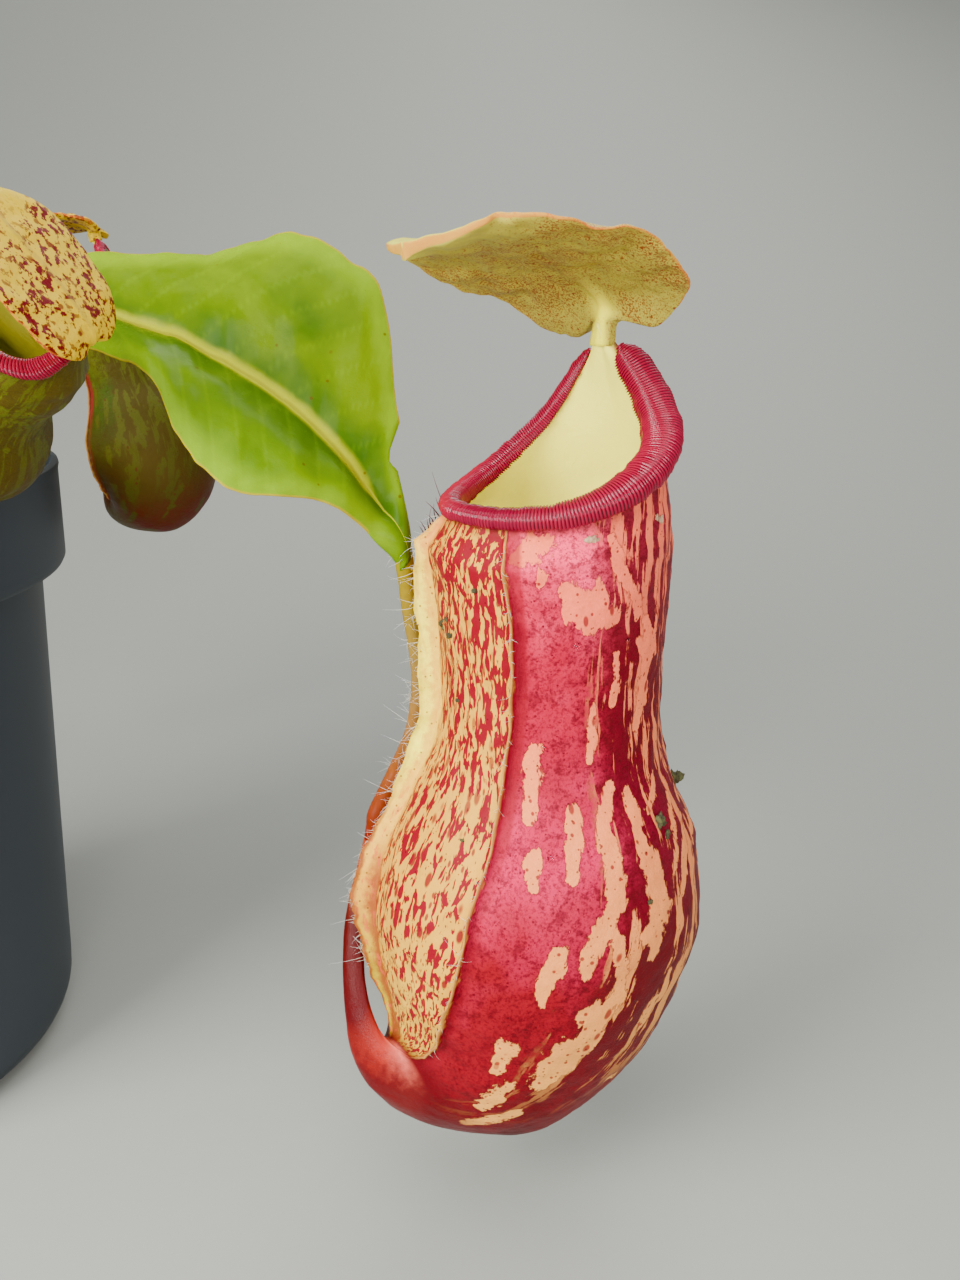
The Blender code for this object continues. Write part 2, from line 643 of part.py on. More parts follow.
def make_main_leaf():
    """The broad leaf that carries the largest pitcher, standing on edge with its face outward."""
    shape = along_route(MAIN_LEAF, 18)
    end, away = tail_end(MAIN)
    route = [shape[-1, :3]]
    route += [MAIN.world(p) for p in ((12.0, -14.9, 78.0), (11.7, -13.7, 70.0), (12.4, -14.3, 62.0))]
    route += [MAIN.world((12.0, -19.4, 54.0)), end + away * 4, end + away * 2, end]
    make_leaf(
        "leaf_1", shape[:, :3], shape[:, 3:6], shape[:, 6:9], np.array(route),
        (1.35, 1.2, 1.2, 1.3, 1.45), columns=9, steps=18,
    )


def make_pitcher_leaf(name, stand, start, tip, arch, half_width, roll=0.0, ripple=0.8):
    """A leaf whose tendril hangs from its tip and bends over into a pitcher's tail."""
    blade = plain_blade(arched_route(start, tip, arch), half_width, roll, BLADE_FOLD, rows=13)
    end, away = tail_end(stand)
    outward = unit([tip[0] - start[0], tip[1] - start[1], 0])
    above = end + away * 9 - outward * 1.5
    bend = (np.array(tip) + above) / 2 + outward
    tendril = np.array([tip, bend, above, end + away * 5, end + away * 2.5, end], float)
    thick = TAIL_RADIUS * stand.width
    make_leaf(name, *blade, tendril, (TENDRIL_RADIUS, thick, thick), columns=7, steps=12, ripple=ripple)


def make_young_leaf():
    """A leaf whose tendril still ends in a small swollen tip."""
    start, tip = (-2.5, -3.5, 105.0), (-36.0, -52.0, 112.0)
    blade = plain_blade(arched_route(start, tip, 16), 11, 6, BLADE_FOLD, rows=12)
    tendril = np.array([tip, (-40, -58, 104), (-41, -60, 92), (-43, -62, 84), (-46, -63, 83)], float)
    swollen = (TENDRIL_RADIUS, 0.8, 0.8, 1.3, 2.0, 1.2)
    make_leaf("leaf_6", *blade, tendril, swollen, columns=7, steps=13, ripple=0.8)


def make_bud(name, stand):
    """An unopened pitcher on its tail, its lid still pressed shut."""
    rings = []
    for t in (0, 1, 2, 3, 4, 5, 6, 7, 8, 9.2, 10.5, 12, 13.5):
        rings.append(stand.world(wall_point(t, np.arange(0, 360, 36.0))))
    top = wall_point(13.5, np.arange(0, 360, 36.0))
    for share, rise in ((0.97, 8.0), (0.8, 15.0), (0.45, 20.0), (0.12, 22.5)):
        ring = top * [share, share * 0.8, 1] + [-1.5 * rise / 10, 0, rise]
        rings.append(stand.world(ring))
    add_object(name, *loft(rings), "bud")


def make_pitchers():
    """All pitchers: the large one in full, the small ones with fewer faces."""
    large_outer = [0, 1, 2, 3, 4, 5, 6, 7, 8, 9, 10, 10.5, 11, 12, 13, 14, 14.5, 15]
    large_outer = sorted(large_outer + [2.5, 3.5, 4.5, 9.5])
    large_inner = [15, 14, 13, 12, 11, 10.5, 10, 9, 8, 7, 6, CAVITY_START]
    small_outer = [0, 1, 2, 3, 4, 5, 6, 7, 8, 9, 10, 11, 12, 13.5, 15]
    small_inner = [15, 13.5, 12, 11, 10, 9, 7.5, 6]
    make_cup("pitcher_1_cup", MAIN, large_outer, large_inner, 3, 13, "cup")
    make_peristome("pitcher_1_peristome", MAIN, ribs=44, sides=8)
    make_lid("pitcher_1_lid", MAIN, rows=13, columns=9)
    for number, stand in ((2, FRONT), (3, BACK), (4, LEFT)):
        skin = "cup" if stand is LEFT else "olive_cup"
        make_cup(f"pitcher_{number}_cup", stand, small_outer, small_inner, 1, 7, skin)
        make_peristome(f"pitcher_{number}_peristome", stand, ribs=20, sides=6)
        make_lid(f"pitcher_{number}_lid", stand, rows=9, columns=7)
    make_bud("pitcher_5_bud", BUD)


def make_leaves():
    """The rosette of leaves, each with its stalk at the stem."""
    make_main_leaf()
    make_pitcher_leaf("leaf_2", FRONT, (2.2, -3.2, 100), (26, -46, 124), arch=8, half_width=8)
    make_pitcher_leaf("leaf_3", BACK, (2.9, 2.25, 97.5), (34, 32, 114), arch=8, half_width=7)
    make_pitcher_leaf("leaf_4", LEFT, (-4.2, 0.4, 102), (-78, 9, 104), 20, half_width=15, roll=18, ripple=1.2)
    make_pitcher_leaf("leaf_5", BUD, (-1.1, 4.1, 108), (-21, 64, 104), 18, half_width=13, roll=-8, ripple=1.1)
    make_young_leaf()


def main():
    for obj in list(bpy.data.objects):
        bpy.data.objects.remove(obj, do_unlink=True)
    make_pot()
    make_medium()
    make_stem()
    make_rolled_leaf()
    make_pitchers()
    make_leaves()


main()
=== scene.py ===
"""The finished look of the young Nepenthes gaya: leaves, pitchers, hairs, pot and studio.

Lengths are in millimetres and angles in degrees, and a mesh is scaled to metres as it is made.
A pitcher is drawn in a frame of its own: f points to its winged front, l to its left side and z
up its tube. Marks are numbers kept at a mesh's points, which a finish reads to place its colours.
"""

import logging
import math
from dataclasses import dataclass
from enum import Enum, IntEnum
from typing import Sequence, Union

import bpy
import numpy as np
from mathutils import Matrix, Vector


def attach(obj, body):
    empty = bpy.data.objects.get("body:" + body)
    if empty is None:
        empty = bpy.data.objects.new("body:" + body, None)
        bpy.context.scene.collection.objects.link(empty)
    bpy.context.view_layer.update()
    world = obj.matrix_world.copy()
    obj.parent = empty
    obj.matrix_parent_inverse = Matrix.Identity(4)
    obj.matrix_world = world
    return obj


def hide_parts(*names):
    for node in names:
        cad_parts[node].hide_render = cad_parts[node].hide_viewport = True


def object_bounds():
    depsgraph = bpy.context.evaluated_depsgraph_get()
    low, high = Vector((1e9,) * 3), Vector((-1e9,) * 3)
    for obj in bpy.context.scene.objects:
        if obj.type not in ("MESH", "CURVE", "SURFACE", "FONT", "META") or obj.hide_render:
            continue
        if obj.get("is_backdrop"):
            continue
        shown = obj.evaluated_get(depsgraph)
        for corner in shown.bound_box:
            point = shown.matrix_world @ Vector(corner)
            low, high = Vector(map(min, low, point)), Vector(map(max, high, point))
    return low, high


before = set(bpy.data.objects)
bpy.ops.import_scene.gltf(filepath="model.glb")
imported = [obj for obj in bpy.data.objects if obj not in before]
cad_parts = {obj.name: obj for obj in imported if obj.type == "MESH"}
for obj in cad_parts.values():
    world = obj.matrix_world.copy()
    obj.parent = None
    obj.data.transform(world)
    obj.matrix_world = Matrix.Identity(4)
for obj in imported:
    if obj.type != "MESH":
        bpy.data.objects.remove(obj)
CAD_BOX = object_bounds()

LOG = logging.getLogger("potted_nepenthes")
MM = 0.001

Array = np.ndarray
Colour = tuple[int, int, int]
Material = bpy.types.Material
Socket = bpy.types.NodeSocket
Feed = Union["Value", float, Colour]


def smooth(rows: Sequence, t: Sequence) -> Array:
    """Read a Catmull-Rom curve through rows of numbers.

    Args:
        rows: The numbers that the curve passes through.
        t: Positions from 0 to the last row.

    Returns:
        One row for each position.
    """
    rows = np.asarray(rows, float)
    if rows.ndim == 1:
        rows = rows[:, None]
    last = len(rows) - 1
    t = np.clip(np.atleast_1d(np.asarray(t, float)), 0, last)
    i = np.minimum(t.astype(int), last - 1)
    w = (t - i)[:, None]
    padded = np.vstack([2 * rows[0] - rows[1], rows, 2 * rows[-1] - rows[-2]])
    a, b, c, d = padded[i], padded[i + 1], padded[i + 2], padded[i + 3]
    cubic = -a + 3 * b - 3 * c + d
    return 0.5 * (2 * b + (c - a) * w + (2 * a - 5 * b + 4 * c - d) * w**2 + cubic * w**3)


def run_of(path: Array) -> Array:
    """The length along a path at each of its points."""
    return np.append(0, np.cumsum(np.linalg.norm(np.diff(path, axis=0), axis=1)))


def along_route(rows: Sequence, count: int) -> Array:
    """Read the curve through rows at equal steps along its first three columns.

    Args:
        rows: Points, with any further numbers that go with them.
        count: How many rows to read.

    Returns:
        The rows read.
    """
    dense = smooth(rows, np.linspace(0, len(rows) - 1, 120 * len(rows)))
    length = run_of(dense[:, :3])
    wanted = np.linspace(0, length[-1], count)
    return np.stack([np.interp(wanted, length, column) for column in dense.T], -1)


def unit(v: Sequence) -> Array:
    """The vectors at length one."""
    v = np.asarray(v, float)
    return v / np.maximum(np.linalg.norm(v, axis=-1, keepdims=True), 1e-9)


def circle_of(count: int) -> Array:
    """Points at equal steps round a flat circle of radius one."""
    turn = np.arange(count) * 2 * math.pi / count
    return np.stack([np.cos(turn), np.sin(turn)], -1)


def eased_steps(count: int) -> Array:
    """Steps from -1 to 1 that close up towards both ends."""
    return np.sin(np.linspace(-1, 1, count) * math.pi / 2)


def from_front(angle: Sequence) -> Array:
    """Angles brought between -180 and 180 degrees."""
    return (np.asarray(angle, float) + 180) % 360 - 180


def unevenness(points: Array, size: float, seed: int, octaves: int = 3) -> Array:
    """Soft lumps that are the same on every run.

    Args:
        points: Places to read, as rows of any number of coordinates.
        size: How far apart the largest lumps lie.
        seed: Which pattern of lumps.
        octaves: How many finer layers are added, each half the size of the last.

    Returns:
        A number between about -1 and 1 for each place.
    """
    rng = np.random.default_rng(seed)
    points = np.asarray(points, float)
    total = np.zeros(points.shape[:-1])
    for octave in range(octaves):
        for _ in range(6):
            course = unit(rng.normal(size=points.shape[-1]))
            pitch = 2 * math.pi / size * 2**octave * rng.uniform(0.6, 1.4)
            total += np.sin(points @ course * pitch + rng.uniform(0, 6.28)) * 0.5**octave / 3
    return total


def linear(colour: Colour) -> tuple[float, float, float]:
    """The linear values of a colour given as it looks on a screen, 0 to 255."""
    share = np.asarray(colour, float) / 255
    return tuple(np.where(share <= 0.04045, share / 12.92, ((share + 0.055) / 1.055) ** 2.4))


class Slot(Enum):
    """The record's material slots."""

    POT = "pot_plastic"
    MEDIUM = "medium"
    STEM = "stem_skin"
    LEAF = "leaf_skin"
    RED_PITCHER = "red_pitcher"
    OLIVE_PITCHER = "olive_pitcher"
    PERISTOME = "peristome_skin"
    LID = "lid_skin"
    BUD = "bud_skin"


class Seed(IntEnum):
    """The starts of the random patterns, which keep each of them the same on every run."""

    BUD_FUR = 6
    BRISTLES = 9
    CRUMPLE = 11
    BRISTLE_BENDS = 12
    FRILL = 13
    LITTER = 17
    CUP_LUMPS = 21
    CUP_GRAIN = 22
    ROLL = 31
    BLOTCHES = 40
    LID_FRILL = 51
    LID_SWELL = 52
    LID_NET = 53
    WING_HAIRS = 60
    LEAF = 71
    TENDRIL = 75
    HANGING_LEAF = 80
    FILL_CRUMBS = 91
    FILL_GRAIN = 92
    FILL_TONES = 93
    BUD = 95
    BARK = 97
    MOSS = 98


def placed(name: str, data: bpy.types.ID) -> bpy.types.Object:
    """Put a mesh, a light or a camera into the scene as an object of this name."""
    obj = bpy.data.objects.new(name, data)
    bpy.context.scene.collection.objects.link(obj)
    return obj


@dataclass
class Surface:
    """Points, four-sided and three-sided faces and marks of a piece before it becomes a mesh."""

    points: Array
    quads: Array
    triangles: Array
    marks: dict

    @classmethod
    def gather(cls, parts: Sequence["Surface"]) -> "Surface":
        """Several surfaces as one.

        Args:
            parts: The surfaces, all with the same marks.

        Returns:
            The joined surface.
        """
        starts = np.cumsum([0] + [len(part.points) for part in parts[:-1]])
        return cls(
            np.vstack([part.points for part in parts]),
            np.vstack([part.quads + start for part, start in zip(parts, starts)]),
            np.vstack([part.triangles + start for part, start in zip(parts, starts)]),
            {name: np.concatenate([part.marks[name] for part in parts]) for name in parts[0].marks},
        )

    def facing_out(self) -> "Surface":
        """The surface with its faces turned outward, told by the volume that they close."""
        halves = (self.quads[:, [0, 1, 2]], self.quads[:, [0, 2, 3]], self.triangles)
        a, b, c = self.points[np.vstack(halves)].transpose(1, 0, 2)
        if np.sum(a * np.cross(b, c)) < 0:
            self.quads, self.triangles = self.quads[:, ::-1], self.triangles[:, ::-1]
        return self

    def mesh(self, name: str) -> bpy.types.Mesh:
        """The points, faces and marks as a mesh in metres."""
        mesh = bpy.data.meshes.new(name)
        mesh.from_pydata((self.points * MM).tolist(), [], self.quads.tolist() + self.triangles.tolist())
        for mark, values in self.marks.items():
            kind, key = ("FLOAT_VECTOR", "vector") if values.ndim == 2 else ("FLOAT", "value")
            mesh.attributes.new(mark, kind, "POINT").data.foreach_set(key, values.ravel())
        return mesh

    def piece(self, name: str, finish: Material, slot: Slot, *nodes: str) -> bpy.types.Object:
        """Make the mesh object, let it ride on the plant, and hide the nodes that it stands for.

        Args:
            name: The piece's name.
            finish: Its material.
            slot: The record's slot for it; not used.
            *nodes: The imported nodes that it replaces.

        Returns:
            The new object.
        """
        mesh = self.mesh(name)
        mesh.shade_smooth()
        mesh.materials.append(finish)
        obj = placed(name, mesh)
        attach(obj, "root")
        if nodes:
            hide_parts(*nodes)
        LOG.info("%s: %d faces", name, len(mesh.polygons))
        return obj


def closed_loft(rings: Array, marks: dict) -> Surface:
    """Join rings of points into one closed skin that faces out.

    Args:
        rings: Rows of rings.
        marks: Values of the same rows and columns, by name.

    Returns:
        The surface.
    """
    rows, columns = rings.shape[:2]
    grid = np.arange(rows * columns).reshape(rows, columns)
    turned = np.roll(grid, -1, axis=1)
    quads = np.stack([grid[:-1], turned[:-1], turned[1:], grid[1:]], -1).reshape(-1, 4)
    points = rings.reshape(-1, 3)
    kept = {name: value.reshape(-1, *value.shape[2:]) for name, value in marks.items()}
    triangles = []
    for row, flipped in ((0, True), (rows - 1, False)):
        middle = np.full(columns, len(points))
        points = np.vstack([points, rings[row].mean(axis=0)])
        kept = {name: np.concatenate([value, value[grid[row, :1]]]) for name, value in kept.items()}
        pair = (turned[row], grid[row]) if flipped else (grid[row], turned[row])
        triangles.append(np.stack([*pair, middle], -1))
    return Surface(points, quads, np.vstack(triangles), kept).facing_out()


def tube(path: Array, size: Array, side: Sequence, count: int) -> Array:
    """Rings of points round a path, carried along it without a twist.

    Args:
        path: The places that it runs through.
        size: Its radius at each of them.
        side: A direction across the path at its start.
        count: Points to a ring.

    Returns:
        The rings.
    """
    tangent = unit(np.gradient(path, axis=0))
    sides = []
    for t in tangent:
        side = unit(side - t * np.dot(side, t))
        sides.append(side)
    circle = circle_of(count)
    around = np.array(sides)[:, None] * circle[:, :1] + np.cross(tangent, sides)[:, None] * circle[:, 1:]
    return path[:, None] + around * size[:, None, None]


@dataclass(frozen=True)
class HairFringe:
    """Tapering three-sided hairs, each one a bent thread of five lengths."""

    thickness: float
    seed: int
    steps: int = 5
    curl: float = 0.6
    taper: float = 0.85

    def grow(self, roots: Sequence, courses: Sequence, lengths: Sequence) -> Surface:
        """Grow one hair at each root.

        Args:
            roots: Where the hairs stand.
            courses: The way each one leaves its root.
            lengths: How long each one is.

        Returns:
            All the hairs as one surface, with their share of length as the mark tip.
        """
        rng = np.random.default_rng(self.seed)
        roots, courses, lengths = np.asarray(roots), unit(courses), np.asarray(lengths)
        count = len(roots)
        bend = rng.normal(size=(count, 3)) * self.curl
        across = unit(np.cross(courses, rng.normal(size=(count, 3))))
        other = np.cross(courses, across)
        s = np.linspace(0, 1, self.steps + 1)[:, None]
        path = roots[:, None] + (courses[:, None] * s + bend[:, None] * s * s) * lengths[:, None, None]
        turn = np.radians([0, 120, 240])[:, None]
        circle = across[:, None] * np.cos(turn) + other[:, None] * np.sin(turn)
        size = (self.thickness * (1 - self.taper * s))[..., None]
        points = path[:, :, None] + circle[:, None] * size
        grid = np.arange(count * (self.steps + 1) * 3).reshape(count, self.steps + 1, 3)
        turned = np.roll(grid, -1, axis=2)
        quads = np.stack([grid[:, :-1], turned[:, :-1], turned[:, 1:], grid[:, 1:]], -1).reshape(-1, 4)
        ends = np.vstack([grid[:, 0, ::-1], grid[:, -1]])
        tips = np.broadcast_to(s[None], (count, self.steps + 1, 3)).ravel()
        return Surface(points.reshape(-1, 3), quads, ends, {"tip": tips})


class Value:
    """What one node gives to the next. It is added to and multiplied like a number."""

    def __init__(self, graph: "Graph", socket: Socket) -> None:
        """Hold an output of the graph."""
        self.graph, self.socket = graph, socket

    def __add__(self, other: Feed) -> "Value":
        """The sum of two values."""
        return self.graph.math("ADD", self, other)

    def __sub__(self, other: float) -> "Value":
        """The value less a number."""
        return self.graph.math("ADD", self, -other)

    def __mul__(self, other: Feed) -> "Value":
        """The product of two values."""
        return self.graph.math("MULTIPLY", self, other)

    def __truediv__(self, other: float) -> "Value":
        """The value divided by a number."""
        return self * (1 / other)

    def __abs__(self) -> "Value":
        """The value without its sign."""
        return self.graph.math("ABSOLUTE", self, 0.0)

    __radd__, __rmul__ = __add__, __mul__


class Graph:
    """The node tree of one finish, with a short call for each node that it uses."""

    def __init__(self, name: str) -> None:
        """Start a new material of this name."""
        self.material = bpy.data.materials.new(name)
        self.material.use_nodes = True
        self.tree = self.material.node_tree
        self.shader = self.tree.nodes["Principled BSDF"]

    def feed(self, socket: Socket, value: Feed) -> None:
        """Link a socket to another one, or set it to a number or colour.

        Args:
            socket: The input to fill.
            value: A node's value, a number, or a colour from 0 to 255.
        """
        if isinstance(value, Value):
            self.tree.links.new(value.socket, socket)
        elif socket.type == "RGBA":
            socket.default_value = (*linear(value), 1.0)
        else:
            socket.default_value = value

    def node(self, kind: str, feeds: dict, **settings: object) -> bpy.types.Node:
        """Add a node.

        Args:
            kind: Its Blender type.
            feeds: What goes into each input, by name or number.
            **settings: Its own settings.

        Returns:
            The node.
        """
        made = self.tree.nodes.new(kind)
        for key, value in settings.items():
            setattr(made, key, value)
        for key, value in feeds.items():
            self.feed(made.inputs[key], value)
        return made

    def value(self, kind: str, feeds: dict, output: Union[int, str] = 0, **settings: object) -> Value:
        """Add a node and take one of its outputs.

        Args:
            kind: Its Blender type.
            feeds: What goes into each input, by name or number.
            output: Which output, by name or number.
            **settings: Its own settings.

        Returns:
            The output.
        """
        return Value(self, self.node(kind, feeds, **settings).outputs[output])

    def math(self, how: str, a: Feed, b: Feed) -> Value:
        """The result of a Math node."""
        return self.value("ShaderNodeMath", {0: a, 1: b}, operation=how)

    def band(self, value: Feed, low: float, high: float) -> Value:
        """A soft step from 0 at low to 1 at high, or from 1 to 0 where low is the larger."""
        feeds = {"Value": value, "From Min": low, "From Max": high}
        return self.value("ShaderNodeMapRange", feeds, interpolation_type="SMOOTHSTEP")

    def mark(self, name: str) -> Value:
        """A number that the mesh carries at its points."""
        return self.value("ShaderNodeAttribute", {}, "Fac", attribute_name=name)

    def place(self, name: str = "local") -> Value:
        """A place that the mesh carries at its points."""
        return self.value("ShaderNodeAttribute", {}, "Vector", attribute_name=name)

    def stretch(self, place: Value, up: float, across: float = 1.0) -> Value:
        """The place multiplied up and across, which draws out what is read there."""
        feeds = {0: place, 1: (across, 1.0, up)}
        return self.value("ShaderNodeVectorMath", feeds, operation="MULTIPLY")

    def part(self, place: Value, axis: str) -> Value:
        """One coordinate of a place."""
        return self.value("ShaderNodeSeparateXYZ", {0: place}, axis)

    def noise(
        self, place: Value, scale: float, detail: float = 3.0, rough: float = 0.55, warp: float = 0.0
    ) -> Value:
        """Cloudy noise from 0 to 1.

        Args:
            place: Where it is read.
            scale: Lumps to the millimetre.
            detail: How many finer layers it has.
            rough: How strong they are.
            warp: How far it is pulled about.

        Returns:
            The noise.
        """
        feeds = {"Vector": place, "Scale": scale, "Detail": detail}
        feeds |= {"Roughness": rough, "Distortion": warp}
        return self.value("ShaderNodeTexNoise", feeds)

    def cells(self, place: Value, scale: float) -> tuple:
        """Distance from the nearest of many scattered seeds, and a chance value for each seed.

        Args:
            place: Where it is read.
            scale: Seeds to the millimetre.

        Returns:
            The distance and the chance value.
        """
        made = self.node("ShaderNodeTexVoronoi", {"Vector": place, "Scale": scale})
        distance, colour = (Value(self, made.outputs[name]) for name in ("Distance", "Color"))
        return distance, self.value("ShaderNodeSeparateColor", {0: colour})

    def dots(self, place: Value, scale: float, radius: float, share: float) -> Value:
        """Scattered round dots as a mask.

        Args:
            place: Where they are read.
            scale: Seeds to the millimetre.
            radius: Size of a dot beside the distance between seeds.
            share: Share of the seeds that have a dot.

        Returns:
            1 inside a dot and 0 outside.
        """
        distance, chance = self.cells(place, scale)
        return self.band(distance, radius, radius * 0.6) * self.band(chance, share + 0.02, share)

    def ramp(self, value: Feed, stops: Sequence) -> Value:
        """A colour read off a scale of colours.

        Args:
            value: Where it is read, from 0 to 1.
            stops: Pairs of position and colour.

        Returns:
            The colour.
        """
        made = self.node("ShaderNodeValToRGB", {0: value})
        bar = made.color_ramp.elements
        while len(bar) < len(stops):
            bar.new(1.0)
        for element, (position, colour) in zip(bar, stops):
            element.position = position
            element.color = (*linear(colour), 1.0)
        return Value(self, made.outputs[0])

    def mix(self, share: Feed, under: Feed, over: Feed) -> Value:
        """One colour laid over another.

        Args:
            share: How much of the upper colour shows.
            under: The lower colour.
            over: The upper colour.

        Returns:
            The mixed colour.
        """
        return self.value("ShaderNodeMix", {0: share, 6: under, 7: over}, 2, data_type="RGBA")

    def tone(self, colour: Colour) -> Value:
        """A plain colour as an output."""
        made = self.node("ShaderNodeRGB", {})
        made.outputs[0].default_value = (*linear(colour), 1.0)
        return Value(self, made.outputs[0])

    def shade(self, colour: Value, amount: Feed) -> Value:
        """The colour made darker or lighter by a number about 1."""
        return self.value("ShaderNodeVectorMath", {0: colour, 3: amount}, operation="SCALE")

    def relief(self, height: Value, depth: float, strength: float, under: Value = None) -> Value:
        """A bumped normal.

        Args:
            height: The relief, from 0 to 1.
            depth: Its depth in millimetres.
            strength: How strongly it shows.
            under: A normal that it is added to.

        Returns:
            The normal.
        """
        feeds = {"Height": height, "Distance": depth * MM, "Strength": strength}
        if under is not None:
            feeds["Normal"] = under
        return self.value("ShaderNodeBump", feeds)

    def finish(self, **sockets: Feed) -> Material:
        """Fill the shader's inputs, named with underscores for spaces.

        Args:
            **sockets: What goes into each input.

        Returns:
            The material.
        """
        for name, value in sockets.items():
            self.feed(self.shader.inputs[name.replace("_", " ")], value)
        return self.material

    def flesh(self, weight: float, reach: float, tint: tuple = (1.0, 0.45, 0.25)) -> None:
        """Let light soak through thin growth.

        Args:
            weight: How much of it does.
            reach: How far, in millimetres.
            tint: How far red, green and blue reach beside each other.
        """
        self.shader.inputs["Subsurface Weight"].default_value = weight
        self.shader.inputs["Subsurface Scale"].default_value = reach * MM
        self.shader.inputs["Subsurface Radius"].default_value = tint


